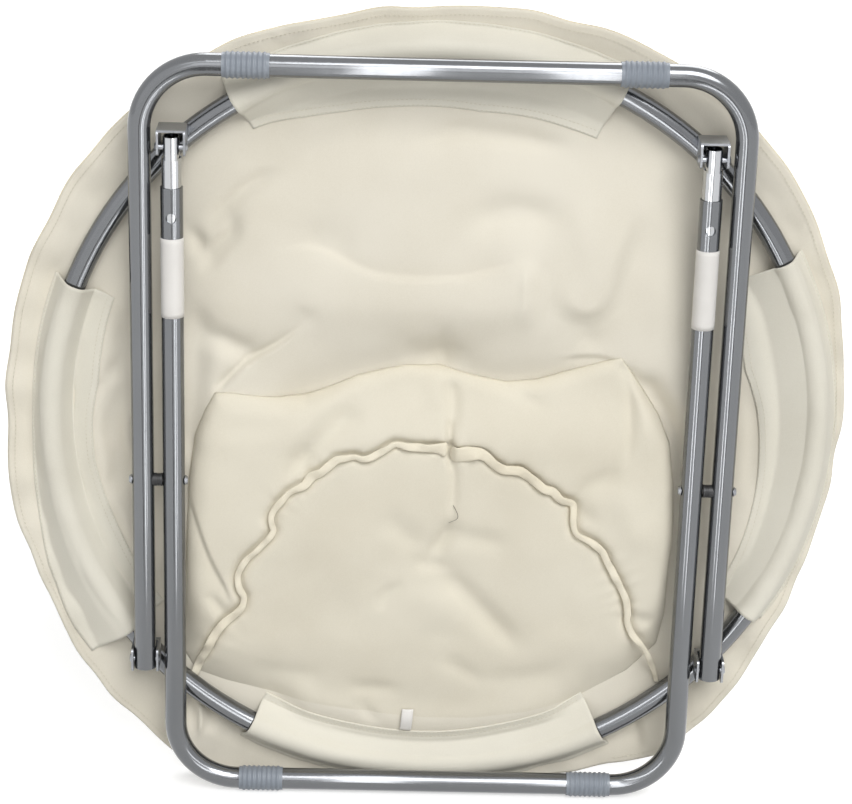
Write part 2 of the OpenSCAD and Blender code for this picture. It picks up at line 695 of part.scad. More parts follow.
module snap_button(side) {
  color("silver") standing() in_leg_plane() translate([side * inner_half_w, 0, snap_z]) {
    intersection() {
      translate([0, -snap_flange_y + 0.1, 0]) rotate([90, 0, 0])
        cylinder(d = snap_d, h = tube_r, $fn = hole_faces);
      translate([0, 0, -snap_d]) cylinder(r = slide_r, h = 2 * snap_d);
    }
    translate([0, -snap_flange_y + snap_flange_t, 0]) rotate([90, 0, 0])
      cylinder(d = snap_flange_d, h = snap_flange_t, $fn = hole_faces);
  }
}

echo(hinge_z = hinge_z, slide_pin_z = slide_pin_z, pivot_z = pivot_z, floor_z = floor_z);
echo(slide_out = slide_out, slide_swing = slide_swing, snap_z = snap_z, inner_end_z = inner_end_z);

hoop_tube();
hinge_bracket(-1);  // hinge_bracket_left
hinge_bracket(1);  // hinge_bracket_right
slide_bracket(-1);  // slide_bracket_left
slide_bracket(1);  // slide_bracket_right
hinge_pin(-1);  // hinge_pin_left
hinge_pin(1);  // hinge_pin_right
slide_pin(-1);  // slide_pin_left
slide_pin(1);  // slide_pin_right
seat_cover();
seat_pouch();
pouch_piping();
sleeve_top();
sleeve_left();
sleeve_right();
sleeve_bottom();
outer_leg_tube();
outer_grip(-1);  // outer_grip_left
outer_grip(1);  // outer_grip_right
pivot_bolt(-1);  // pivot_bolt_left
pivot_bolt(1);  // pivot_bolt_right
spacer_bush(-1);  // spacer_bush_left
spacer_bush(1);  // spacer_bush_right
inner_leg_tube();
inner_grip(-1);  // inner_grip_left
inner_grip(1);  // inner_grip_right
pivot_nut(-1);  // pivot_nut_left
pivot_nut(1);  // pivot_nut_right
slide_tube(-1);  // slide_tube_left
slide_tube(1);  // slide_tube_right
snap_spring(-1);  // snap_spring_left
snap_spring(1);  // snap_spring_right
snap_button(-1);  // snap_button_left
snap_button(1);  // snap_button_right
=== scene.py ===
import json
import math

import bmesh
import bpy
import numpy as np
from mathutils import Matrix, Vector


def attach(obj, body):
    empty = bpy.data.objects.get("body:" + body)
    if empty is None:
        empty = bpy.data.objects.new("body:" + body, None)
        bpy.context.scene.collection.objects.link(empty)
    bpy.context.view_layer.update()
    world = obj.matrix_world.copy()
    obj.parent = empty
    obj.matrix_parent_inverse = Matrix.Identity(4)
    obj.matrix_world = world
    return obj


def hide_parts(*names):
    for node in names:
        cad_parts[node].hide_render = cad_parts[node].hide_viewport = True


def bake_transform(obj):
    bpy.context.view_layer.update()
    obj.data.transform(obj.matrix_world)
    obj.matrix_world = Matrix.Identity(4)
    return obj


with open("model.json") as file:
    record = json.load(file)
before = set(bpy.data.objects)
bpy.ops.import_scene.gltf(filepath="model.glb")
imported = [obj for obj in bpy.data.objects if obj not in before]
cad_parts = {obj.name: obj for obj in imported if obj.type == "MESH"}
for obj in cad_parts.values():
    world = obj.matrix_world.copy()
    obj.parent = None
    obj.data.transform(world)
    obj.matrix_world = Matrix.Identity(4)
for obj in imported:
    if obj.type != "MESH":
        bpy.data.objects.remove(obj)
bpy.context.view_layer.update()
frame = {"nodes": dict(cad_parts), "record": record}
nodes = frame["nodes"]

# The middle of the hoop in the frame, and the frame's main sizes, in metres.
hoop = {"x": 0.008, "y": 0.01405, "z": 0.399, "radius": 0.382, "legs": 0.030, "legHalf": 0.258}
mm = 0.001


def at(across, up, depth):  # a place from the middle of the hoop; depth grows towards the legs
    return Vector((hoop["x"] + across, hoop["y"] - depth, hoop["z"] + up))


camera = {"place": (-0.0442, -2.3866, 1.3196), "right": (0.99961, -0.00799, 0.02676),
          "up": (-0.02227, 0.35010, 0.93645), "back": (-0.01685, -0.93668, 0.34979),
          "lens": 108.65, "sensor": 36.0}
studio = {"low": 0.07, "high": 0.40, "floor": (0.62, 0.62, 0.615), "glow": 0.52, "floorSize": 30.0,
          "suns": [("keySun", (0.8, -2.05, 2.45), 2.2, 36.0), ("fillSun", (-1.9, -2.6, 1.3), 0.25, 60.0),
                   ("backSun", (0.5, 2.0, 2.4), 1.5, 40.0)],
          "panels": [("frontPanel", (-0.1, -2.9, 1.5), (1.4, 1.4), 8.0)],
          # Strips and dark boards stand close by, and only shiny things show them.
          "strips": [("leftStrip", (-0.045, -0.42, 0.47), (0.08, 1.0), 1.25),
                     ("rightStrip", (0.19, -0.47, 0.47), (0.08, 1.0), 1.25),
                     ("topStrip", (0.0, -1.52, 1.97), (1.9, 0.2), 2.2)],
          "boards": [("leftBoard", -0.25), ("rightBoard", 0.285)], "board": {"front": -0.58, "wide": 0.06, "high": 0.62}}


def makeCamera():
    data = bpy.data.cameras.new("camera")
    data.lens, data.sensor_width = camera["lens"], camera["sensor"]
    data.clip_start, data.clip_end = 0.05, 60
    made = bpy.data.objects.new("camera", data)
    axes = Matrix([camera["right"], camera["up"], camera["back"]]).transposed().to_4x4()
    made.matrix_world = Matrix.Translation(camera["place"]) @ axes
    bpy.context.scene.collection.objects.link(made)
    bpy.context.scene.camera = made


def addLamp(name, data, place):
    lamp = bpy.data.objects.new(name, data)
    lamp.location = place
    lamp.rotation_mode = "QUATERNION"
    lamp.rotation_quaternion = (Vector(place) - Vector((0, 0, 0.4))).to_track_quat("Z", "Y")
    lamp.visible_camera = False
    bpy.context.scene.collection.objects.link(lamp)
    return lamp


def addBoard(name, across):  # a narrow black board on the floor, seen only in reflections
    size = studio["board"]
    bm = bmesh.new()
    bmesh.ops.create_grid(bm, x_segments=2, y_segments=2, size=0.5)
    bmesh.ops.scale(bm, vec=(size["wide"], size["high"], 1), verts=bm.verts)
    bmesh.ops.rotate(bm, verts=bm.verts, cent=(0, 0, 0), matrix=Matrix.Rotation(math.pi / 2, 3, "X"))
    bmesh.ops.translate(bm, verts=bm.verts, vec=(across, size["front"], size["high"] / 2))
    board = finishMesh(bm, name)
    board.data.materials.append(plasticFinish(name, (0.01, 0.01, 0.01), (0.014, 0.014, 0.014), 0.8))
    board.visible_camera = board.visible_diffuse = board.visible_shadow = board.visible_transmission = False
    return board


def makeStudio():
    sky = Shade("studio", world=True)
    bpy.context.scene.world = sky.material
    up = sky.node("ShaderNodeSeparateXYZ", {}, {0: sky.node("ShaderNodeTexCoord", {}, {})[0]})[2]
    glow = sky.mix(up / 0.7, (studio["low"],) * 3, (studio["high"],) * 3)
    sky.set("Color", sky.mix(sky.seen(), glow, (1, 1, 1)))
    for name, place, power, spread in studio["suns"]:
        data = bpy.data.lights.new(name, "SUN")
        data.energy, data.angle = power, math.radians(spread)
        addLamp(name, data, place)
    for name, place, size, power in studio["panels"] + studio["strips"]:
        data = bpy.data.lights.new(name, "AREA")
        data.shape, data.size, data.size_y, data.energy = "RECTANGLE", *size, power
        addLamp(name, data, place).visible_diffuse = "Strip" not in name
    boards = [addBoard(name, across) for name, across in studio["boards"]]
    bm = bmesh.new()
    bmesh.ops.create_grid(bm, x_segments=2, y_segments=2, size=studio["floorSize"] / 2)
    floor = finishMesh(bm, "floor")
    shade = Shade("floorPaper")
    grain = shade.noise(40, 3)
    shade.set("Base Color", shade.mix(grain, studio["floor"], tuple(c * 0.985 for c in studio["floor"])))
    shade.set("Roughness", 0.9)
    shade.set("Specular IOR Level", 0.0)
    shade.set("Emission Color", shade.mix(shade.seen(), (0, 0, 0), (1, 1, 1)))
    shade.set("Emission Strength", studio["glow"])
    floor.data.materials.append(shade.material)
    bpy.context.scene.view_settings.view_transform = "Standard"


class Value:  # wraps a socket, so that sums on it add Math nodes
    def __init__(self, shade, socket):
        self.shade, self.socket = shade, socket

    def join(self, operation, first, second):
        return self.shade.node("ShaderNodeMath", {"operation": operation}, {0: first, 1: second})[0]

    def __add__(self, other): return self.join("ADD", self, other)
    def __radd__(self, other): return self.join("ADD", other, self)
    def __sub__(self, other): return self.join("SUBTRACT", self, other)
    def __rsub__(self, other): return self.join("SUBTRACT", other, self)
    def __mul__(self, other): return self.join("MULTIPLY", self, other)
    def __rmul__(self, other): return self.join("MULTIPLY", other, self)
    def __truediv__(self, other): return self.join("DIVIDE", self, other)


class Shade:
    def __init__(self, name, world=False):
        self.material = (bpy.data.worlds if world else bpy.data.materials).new(name)
        self.material.use_nodes = True
        self.tree = self.material.node_tree
        self.surface = self.tree.nodes["Background" if world else "Principled BSDF"]
        self.coords = self.tree.nodes.new("ShaderNodeTexCoord").outputs["Object"]

    def feed(self, socket, value):
        if isinstance(value, Value):
            self.tree.links.new(value.socket, socket)
        elif hasattr(value, "__len__") and len(value) == 3 and socket.type == "RGBA":
            socket.default_value = (*value, 1)
        else:
            socket.default_value = value

    def node(self, kind, settings, inputs):
        made = self.tree.nodes.new(kind)
        for name, value in settings.items():
            setattr(made, name, value)
        for name, value in inputs.items():
            self.feed(made.inputs[name], value)
        return [Value(self, out) for out in made.outputs]

    def seen(self):  # 1 for what the camera sees, also in mirrors or through glass
        path = self.node("ShaderNodeLightPath", {}, {})
        return self.node("ShaderNodeMath", {"operation": "MINIMUM"}, {0: path[0] + path[3] + path[6], 1: 1.0})[0]

    def place(self, scale):
        return self.node("ShaderNodeMapping", {}, {"Vector": Value(self, self.coords), "Scale": scale})[0]

    def noise(self, scale, detail=3, stretch=(1, 1, 1)):
        return self.node("ShaderNodeTexNoise", {}, {"Vector": self.place(stretch), "Scale": scale, "Detail": detail})[0]

    def bands(self, scale, axis, warp=0.0):
        return self.node("ShaderNodeTexWave", {"bands_direction": axis},
                         {"Vector": Value(self, self.coords), "Scale": scale, "Distortion": warp, "Detail": 1.0})[1]

    def mix(self, factor, first, second):
        return self.node("ShaderNodeMix", {"data_type": "RGBA"}, {0: factor, 6: first, 7: second})[2]

    def step(self, value, low, high):
        return self.node("ShaderNodeMapRange", {"interpolation_type": "SMOOTHSTEP"},
                         {"Value": value, "From Min": low, "From Max": high})[0]

    def bump(self, height):
        self.set("Normal", self.node("ShaderNodeBump", {}, {"Height": height, "Distance": mm, "Strength": 1.0})[0])

    def set(self, name, value):
        self.feed(self.surface.inputs[name], value)


def threads(pitch):  # Wave Texture scale for a thread pitch in metres
    return 2 * math.pi / (20 * pitch)


cloth = {"colour": (0.735, 0.694, 0.595), "shade": (0.670, 0.626, 0.522), "pitch": 0.0008, "weave": 0.00007,
         "fuzz": 0.00005, "sheen": 0.12}


def canvasFinish(name, colour, shadeColour, pitch=cloth["pitch"], weave=cloth["weave"]):
    shade = Shade(name)
    warp, weft = shade.bands(threads(pitch), "X", 0.6), shade.bands(threads(pitch), "Z", 0.6)
    cross = warp * weft + (1 - warp) * (1 - weft)
    broad, fine = shade.noise(7, 4), shade.noise(700, 2)
    # Random tone from noise mixes in the darker colour, and so does painted shade in the low places of the weave.
    toneAndWeaveShade = shade.step(broad * 0.65 + fine * 0.2 + (1 - cross) * 0.15, 0.35, 0.72)
    shade.set("Base Color", shade.mix(toneAndWeaveShade, colour, shadeColour))
    shade.set("Roughness", shade.step(fine, 0.0, 1.0) * 0.14 + 0.78)
    shade.set("Sheen Weight", cloth["sheen"])
    shade.set("Sheen Roughness", 0.5)
    shade.set("Specular IOR Level", 0.25)
    shade.bump(cross * weave / mm + fine * cloth["fuzz"] / mm + shade.noise(90, 3) * 0.12)
    return shade.material


def metalFinish(name, colour, darker, rough, spread, metallic=1.0, scratch=0.000015, coat=0.0):
    shade = Shade(name)
    flake, broad = shade.noise(2600, 2), shade.noise(9, 4)
    scuff = shade.noise(160, 4, (1, 1, 0.06))
    shade.set("Base Color", shade.mix(shade.step(flake * 0.5 + broad * 0.5, 0.35, 0.65), colour, darker))
    shade.set("Roughness", shade.step(broad * 0.5 + scuff * 0.5, 0.3, 0.7) * spread + rough)
    shade.set("Metallic", metallic)
    shade.set("Coat Weight", coat)
    shade.set("Coat Roughness", 0.12)
    shade.bump(scuff * scratch / mm)
    return shade.material


def plasticFinish(name, colour, darker, rough):
    shade = Shade(name)
    grain, broad = shade.noise(1400, 3), shade.noise(25, 3)
    shade.set("Base Color", shade.mix(shade.step(grain * 0.4 + broad * 0.6, 0.35, 0.65), colour, darker))
    shade.set("Roughness", shade.step(broad, 0.3, 0.7) * 0.12 + rough)
    shade.bump(grain * 0.03)
    return shade.material


def finishMesh(bm, name):
    mesh = bpy.data.meshes.new(name)
    bm.to_mesh(mesh)
    bm.free()
    mesh.shade_smooth()
    made = bpy.data.objects.new(name, mesh)
    bpy.context.scene.collection.objects.link(made)
    return made


def dress(piece, material, body, slot, *replaced):
    piece.data.materials.clear()
    piece.data.materials.append(material)
    if body:
        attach(piece, body)
    if replaced:
        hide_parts(*replaced)
    return piece


def thicken(piece, thickness, offset=-1.0):
    made = piece.modifiers.new("cloth thickness", "SOLIDIFY")
    made.thickness, made.offset, made.use_even_offset = thickness, offset, False


def smoothStep(t):
    t = np.clip(t, 0, 1)
    return t * t * (3 - 2 * t)


def bell(d, width):
    return np.exp(-(d / width) ** 2)


def softLeast(first, second, soft):  # the lesser of two heights, with a rounded change between them
    return -soft * np.logaddexp(-first / soft, -second / soft)


def curved(points, per=6):  # a smooth line through a few points
    p = np.array(points, float)
    if len(p) < 3:
        return p
    ends = np.vstack([2 * p[0] - p[1], p, 2 * p[-1] - p[-2]])
    out = []
    for a, b, c, d in zip(ends[:-3], ends[1:-2], ends[2:-1], ends[3:]):
        for t in np.linspace(0, 1, per, endpoint=False):
            out.append(0.5 * (2 * b + (c - a) * t + (2 * a - 5 * b + 4 * c - d) * t ** 2 + (3 * b - a - 3 * c + d) * t ** 3))
    return np.array(out + [p[-1]])


def nearLine(x, h, points):  # distance to a line, which side of it (right is positive) and how far along it
    line = curved(points)
    steps = np.linalg.norm(np.diff(line, axis=0), axis=1)
    best, side, along = np.full(x.shape, 1e9), np.zeros(x.shape), np.zeros(x.shape)
    start = 0.0
    for a, b, length in zip(line[:-1], line[1:], steps):
        ux, uh = (b - a) / length
        t = np.clip((x - a[0]) * ux + (h - a[1]) * uh, 0, length)
        dx, dh = x - a[0] - t * ux, h - a[1] - t * uh
        d = np.hypot(dx, dh)
        closer = d < best
        best = np.where(closer, d, best)
        side = np.where(closer, np.sign(dx * uh - dh * ux), side)
        along = np.where(closer, start + t, along)
        start += length
    return best, side, along


def crease(line, lift, wide, fadeIn=0.3, fadeOut=0.3):  # a plain fold along a line, which fades over a share of it at each end
    return {"line": line, "lift": lift, "wide": wide, "in": fadeIn, "out": fadeOut}


def foldHeight(x, h, fold):
    line = curved(fold["line"], 8)
    steps = np.concatenate([[0], np.cumsum(np.linalg.norm(np.diff(line, axis=0), axis=1))])
    spots = np.linspace(0, steps[-1], max(int(steps[-1] / 4), 10))
    places = np.column_stack([np.interp(spots, steps, line[:, k]) for k in (0, 1)])
    ways = np.gradient(places, axis=0)
    ways /= np.linalg.norm(ways, axis=1)[:, None]
    share = spots / steps[-1]
    fade = smoothStep(share / fold["in"]) * smoothStep((1 - share) / fold["out"])
    rounded = fold["wide"] if "wide" in fold else fold["fall"] / 3
    reach = 3 * fold["wide"] if "wide" in fold else 3 * fold["fall"]
    low, high = places.min(axis=0) - reach, places.max(axis=0) + reach
    near = (x > low[0]) & (x < high[0]) & (h > low[1]) & (h < high[1])
    shaped = np.zeros(np.shape(x))
    if not near.any():
        return shaped
    dx, dh = x[near][:, None] - places[:, 0], h[near][:, None] - places[:, 1]
    gap = dx ** 2 + dh ** 2
    least = gap.min(axis=1)[:, None]
    blend = 8  # over this many millimetres neighbouring stretches of the line share a place
    weight = np.exp((least - gap) / (blend ** 2 + 0.35 * least))
    weight /= weight.sum(axis=1)[:, None]
    side = (weight * (dx * ways[:, 1] - dh * ways[:, 0])).sum(axis=1)
    beyond = (weight * (dx * ways[:, 0] + dh * ways[:, 1])).sum(axis=1)
    strength = (weight * fade).sum(axis=1) * bell(beyond, rounded)
    if "wide" in fold:
        shaped[near] = fold["lift"] * bell(side, fold["wide"]) * strength
        return shaped
    d = np.abs(side)
    front = smoothStep(side / fold["edge"] + 0.5)
    raised = fold["lift"] * (1 + fold.get("swell", 1.2) * d / fold["fall"]) * np.exp(-d / fold["fall"])
    strength = strength * smoothStep((reach - d) / (0.4 * reach))
    shaped[near] = (front * raised - (1 - front) * fold["dip"] * np.exp(-d / fold["back"])) * strength
    return shaped


def wander(x, h, size, seed):  # a slow, smooth waviness
    p = (x / size + seed, h / size - seed)
    return (np.sin(2.1 * p[0] + 1.3 * np.sin(1.7 * p[1])) + np.sin(2.4 * p[1] + 1.1 * np.sin(1.9 * p[0] + 2))
            + 0.5 * np.sin(4.3 * p[0] - 3.1 * p[1] + seed)) / 2.5


def discGrid(bm, segments):  # a square grid pulled round; gives each corner's direction and share of the radius
    bmesh.ops.create_grid(bm, x_segments=segments, y_segments=segments, size=1.0)
    bm.verts.ensure_lookup_table()
    co = np.array([v.co[:2] for v in bm.verts])
    u, v = co[:, 0], co[:, 1]
    wide = np.abs(u) > np.abs(v)
    share = np.where(wide, np.abs(u), np.abs(v))
    turn = np.where(wide, np.arctan(v / np.where(wide, u, 1)) + np.where(u < 0, math.pi, 0),
                    math.pi / 2 - np.arctan(u / np.where(wide, 1, np.where(v == 0, 1, v))) + np.where(v < 0, math.pi, 0))
    return turn, share


def setPlaces(bm, x, h, depth):  # x, h and depth in millimetres from the middle of the hoop
    bm.verts.ensure_lookup_table()
    for vert, a, b, c in zip(bm.verts, x, h, depth):
        vert.co = at(a * mm, b * mm, c * mm)


seat = {"backSegments": 340, "frontSegments": 170, "rimDepth": -11.6, "slackDepth": 6.0, "rimFront": -14.9,
        "dishFront": -3.4, "puff": 3.2, "sectors": 8, "ring": 150, "curl": 3.4, "floor": -399.0, "least": 3.2, "firm": -9.0,
        "give": 0.55, "soft": 4.0, "seamRing": 334}
# Broad swellings of the slack sheet: middle, width, height below and above the middle, and lift.
swells = [{"x": -8, "h": 134, "wide": 150, "below": 44, "above": 84, "lift": 21},
          {"x": 140, "h": 175, "wide": 70, "below": 80, "above": 80, "lift": 5.0}]
# The rim's distance from the middle, every few degrees from straight right, turning upwards.
rimRadii = [(-180, 426), (-165, 436), (-156, 436), (-150, 438), (-145, 449), (-137, 451), (-132, 454), (-125, 460),
            (-112, 452), (-76, 417), (-70, 419), (-64, 426), (-60, 433), (-58, 442), (-54, 445), (-49, 440), (-45, 434),
            (-39, 427), (-32, 418), (-21, 410), (-11, 406), (0, 408), (10, 412), (23, 421), (33, 427), (46, 433), (62, 432),
            (78, 425), (93, 419), (108, 423), (121, 435), (143, 433), (160, 431), (172, 428), (180, 426)]


def rimRadius(turn):
    degrees = (np.degrees(turn) + 180) % 360 - 180
    angles, radii = zip(*rimRadii)
    free = sum(np.interp((degrees + off + 180) % 360 - 180, angles, radii) for off in (-3, -1, 1, 3)) / 4
    free = free + 0.9 * np.sin(np.radians(degrees) * 23) + 0.6 * np.sin(np.radians(degrees) * 37 + 1)
    down = np.sin(np.radians(degrees))
    return np.where(down < -0.5, np.minimum(free, (seat["floor"] + 1.8) / np.minimum(down, -0.5)), free)


def rimShift(x, h):  # both faces of the rim curl and ripple together
    r, turn = np.hypot(x, h), np.arctan2(h, x)
    ripple = 1.2 * np.sin(turn * 31) + 0.9 * np.sin(turn * 53 + 2) + 0.6 * np.sin(turn * 17 + 1)
    return smoothStep((r - 390) / 18) * (seat["curl"] * smoothStep((r - 398) / 26) + ripple)


# Each fold of the slack cloth is a line in millimetres. Where it has an edge, the cloth on its right lies in front.
backFolds = [
    {"line": [(-171, 173), (-151, 182), (-133, 186), (-111, 181), (-87, 170), (-62, 161), (-35, 158), (0, 159), (31, 162),
              (57, 170), (81, 179)],
     "lift": -3.5, "dip": 9, "edge": 5, "fall": 50, "back": 26, "swell": 0, "in": 0.35, "out": 0.15},
    {"line": [(94, 186), (97, 146), (93, 98)], "lift": 4.5, "dip": 5.5, "edge": 30, "fall": 55, "back": 40,
     "in": 0.25, "out": 0.4},
    crease([(82, 178), (84, 143), (82, 114)], 1.4, 5),
    crease([(26, 191), (34, 205), (51, 219), (75, 224), (102, 220), (127, 205)], -8.5, 18, 0.35, 0.35),
    {"line": [(207, 230), (192, 222), (183, 192), (176, 160), (166, 134), (149, 121), (130, 126), (115, 144), (102, 165)],
     "lift": 3, "dip": 6, "edge": 26, "fall": 46, "back": 36, "in": 0.3, "out": 0.35},
    crease([(154, 110), (150, 80)], -5, 24),
    {"line": [(-218, 28), (-203, 45), (-186, 62), (-157, 82), (-141, 96), (-123, 113), (-115, 118)],
     "lift": -1, "dip": 6.5, "edge": 4, "fall": 60, "back": 18, "swell": 0, "in": 0.1, "out": 0.35},
    crease([(-220, 31), (-205, 48), (-188, 65), (-160, 84), (-143, 99)], -2.5, 4, 0.1, 0.4),
    crease([(-239, 91), (-213, 86), (-195, 78), (-170, 74)], -8, 13, 0.35),
    crease([(-146, 117), (-115, 114)], -2.5, 12),
    crease([(-234, 190), (-208, 223), (-186, 242), (-149, 264)], -6, 9),
    crease([(-200, 221), (-203, 198), (-217, 178), (-235, 151)], -6.5, 9),
    crease([(-243, 200), (-231, 172)], -8, 9),
    crease([(-34, 288), (-8, 296), (18, 303), (53, 299), (79, 296), (110, 292), (136, 303)], -5.5, 10),
    crease([(-142, 193), (-107, 193), (-76, 176)], -4, 20),
    crease([(3, 124), (5, 94), (5, 56)], -6, 11, 0.7, 0.02),
    crease([(-46, 82), (-9, 77), (20, 77), (50, 72)], -6, 17, 0.4, 0.4),
    crease([(-186, 17), (-145, 19), (-114, 34), (-73, 49), (-33, 59), (3, 58), (44, 48), (89, 45),
            (134, 49), (170, 62)], -9, 24, 0.15, 0.12),
    crease([(-232, 130), (-238, 60), (-241, 20), (-248, -40)], -9, 14, 0.2, 0.1),
    crease([(206, 62), (232, 18), (249, -30), (254, -90)], -8, 12, 0.1, 0.2),
    {"line": [(189, 67), (169, 76), (142, 77), (115, 72)], "lift": 1.5, "dip": 3, "edge": 9, "fall": 26, "back": 16,
     "in": 0.1, "out": 0.4},
    crease([(185, 67), (209, 41), (228, 15), (239, -19)], -5, 9, 0.1),
]
# These folds keep their height out to the rim.
rimFolds = [
    crease([(-240, -312), (-235, -334), (-237, -360)], 6.5, 4),
    crease([(-248, -306), (-244, -352)], -7, 5),
    crease([(-227, -310), (-224, -352)], -7, 5),
    crease([(-69, -308), (-60, -322), (-47, -334)], -3, 8),
    crease([(-320, 20), (-323, -16), (-316, -51), (-323, -92)], -6, 9),
    crease([(-336, 24), (-313, 60)], -4, 8),
    crease([(-329, 46), (-315, 25)], 4, 10),
    crease([(-309, 12), (-307, -51)], 3.5, 8),
    crease([(-300, 110), (-316, 38), (-318, -10), (-313, -70), (-300, -118), (-280, -160)], -6, 17, 0.15, 0.15),
    crease([(-312, 117), (-310, 69)], -5, 12),
    crease([(-326, -97), (-316, -134), (-307, -161)], -5, 8),
    crease([(-284, 150), (-285, 40), (-284, -60), (-280, -180)], -6, 16, 0.2, 0.2),
    crease([(270, 130), (284, 40), (290, -30), (286, -130)], -5, 16),
    crease([(311, 55), (321, -3), (321, -82)], -4, 9),
    crease([(252, -150), (266, -185), (262, -230)], 4.5, 9),
    crease([(-250, -140), (-266, -190), (-262, -235)], -5, 9),
    crease([(212, -318), (222, -342), (226, -368)], -9, 7),
    crease([(-150, 382), (-170, 398)], 2.5, 5),
]


def backDepth(x, h):
    r = np.hypot(x, h)
    slack = smoothStep((358 - r) / 108)
    depth = seat["rimDepth"] + (seat["slackDepth"] - seat["rimDepth"]) * slack
    for one in swells:
        tall = np.where(h < one["h"], one["below"], one["above"])
        depth = depth + one["lift"] * np.exp(-((x - one["x"]) / one["wide"]) ** 2 - ((h - one["h"]) / tall) ** 2)
    depth = depth + 12 * bell(r - seat["seamRing"], 26) * smoothStep((170 - np.abs(x)) / 50) * (h < 0)
    underSleeves = smoothStep((np.cos(4 * np.arctan2(h, x)) + 0.75) / 0.9) * smoothStep((h + 250) / 50)
    depth = depth + 8 * bell(r - seat["seamRing"], 22) * underSleeves
    loose = smoothStep((352 - r) / 60)
    depth = depth + sum(foldHeight(x, h, fold) for fold in backFolds) * loose + sum(foldHeight(x, h, fold) for fold in rimFolds)
    depth = depth + 1.3 * loose * wander(x, h, 70, 3.1) + 0.5 * loose * wander(x, h, 26, 7.7)
    depth = np.where(depth < seat["firm"], seat["firm"] + seat["give"] * (depth - seat["firm"]), depth)
    return depth + rimShift(x, h)


def frontDepth(x, h):
    r, turn = np.hypot(x, h), np.arctan2(h, x)
    slack = smoothStep((358 - r) / 120)
    depth = seat["rimFront"] + (seat["dishFront"] - seat["rimFront"]) * slack
    seam = np.abs(np.sin(turn * seat["sectors"] / 2)) * r * 2 / seat["sectors"]
    puffed = 1 - bell(seam, 13)
    puffed = np.where(r > seat["ring"], puffed, 1) * (1 - bell(r - seat["ring"], 13))
    puffed = puffed * (1 - bell(r - 352, 14))
    depth = depth - seat["puff"] * puffed * smoothStep((404 - r) / 40) - 0.7 * wander(x, h, 60, 1.3) * slack
    return softLeast(depth + rimShift(x, h), backDepth(x, h) - seat["least"], seat["soft"])


def facePart(segments, depthAt):
    bm = bmesh.new()
    turn, share = discGrid(bm, segments)
    radius = rimRadius(turn) * share
    x, h = radius * np.cos(turn), radius * np.sin(turn)
    setPlaces(bm, x, h, depthAt(x, h))
    mesh = bpy.data.meshes.new("facePart")
    bm.to_mesh(mesh)
    bm.free()
    return mesh


def makeSeat():
    bm = bmesh.new()
    for mesh in (facePart(seat["backSegments"], backDepth), facePart(seat["frontSegments"], frontDepth)):
        bm.from_mesh(mesh)
        bpy.data.meshes.remove(mesh)
    bmesh.ops.bridge_loops(bm, edges=[edge for edge in bm.edges if edge.is_boundary])
    bmesh.ops.recalc_face_normals(bm, faces=bm.faces)
    piece = dress(finishMesh(bm, "seatPad"), finishes["canvas"], "hoop_frame", "canvas", "seat_cover")
    print("seat pad", len(piece.data.polygons))
    return piece


pouch = {"segments": 200, "middle": (5, -110), "body": 25.0, "thick": 1.0, "panel": -2.0,
         "groove": 7.0, "pucker": 0.9, "puckerPitch": 17.0}
pouchLine = [(-219, 31), (-205, 32), (-180, 29), (-155, 27), (-129, 29), (-104, 38), (-79, 50), (-52, 58), (-29, 63),
             (3, 62), (37, 54), (71, 47), (100, 50), (130, 60), (160, 71), (183, 78), (197, 58), (210, 38), (224, 16),
             (236, -12), (243, -60), (245, -110), (243, -160), (243, -205), (237, -240), (208, -272), (160, -303),
             (105, -319), (50, -327), (0, -328), (-50, -324), (-105, -316), (-160, -306), (-208, -294), (-240, -282),
             (-251, -262), (-253, -232), (-252, -190), (-249, -150), (-247, -110), (-245, -60), (-239, -15), (-229, 12)]
seamLeft = [(-242, -287), (-238, -276), (-234, -264), (-228, -252), (-223, -239), (-217, -227), (-210, -217), (-199, -207),
            (-191, -197), (-189, -186), (-193, -176), (-195, -166), (-194, -157), (-188, -145), (-180, -136), (-171, -126),
            (-163, -116), (-159, -109), (-161, -101), (-161, -92), (-157, -84), (-151, -76), (-144, -68), (-137, -63),
            (-128, -58), (-121, -49), (-112, -44), (-103, -36), (-96, -30), (-87, -28), (-79, -27), (-71, -29), (-63, -27),
            (-54, -22), (-45, -16), (-38, -13), (-25, -15), (-12, -16), (1, -16), (14, -17)]
seamRight = [(16, -22), (26, -22), (33, -21), (44, -20), (52, -24), (59, -30), (70, -37), (80, -37), (87, -38), (95, -44),
             (103, -50), (112, -57), (120, -60), (128, -68), (139, -73), (142, -79), (142, -93), (145, -104), (155, -111),
             (164, -116), (173, -125), (179, -137), (186, -150), (194, -166), (200, -179), (203, -196), (203, -205),
             (209, -220), (218, -231), (226, -244), (231, -256), (236, -270), (240, -284)]
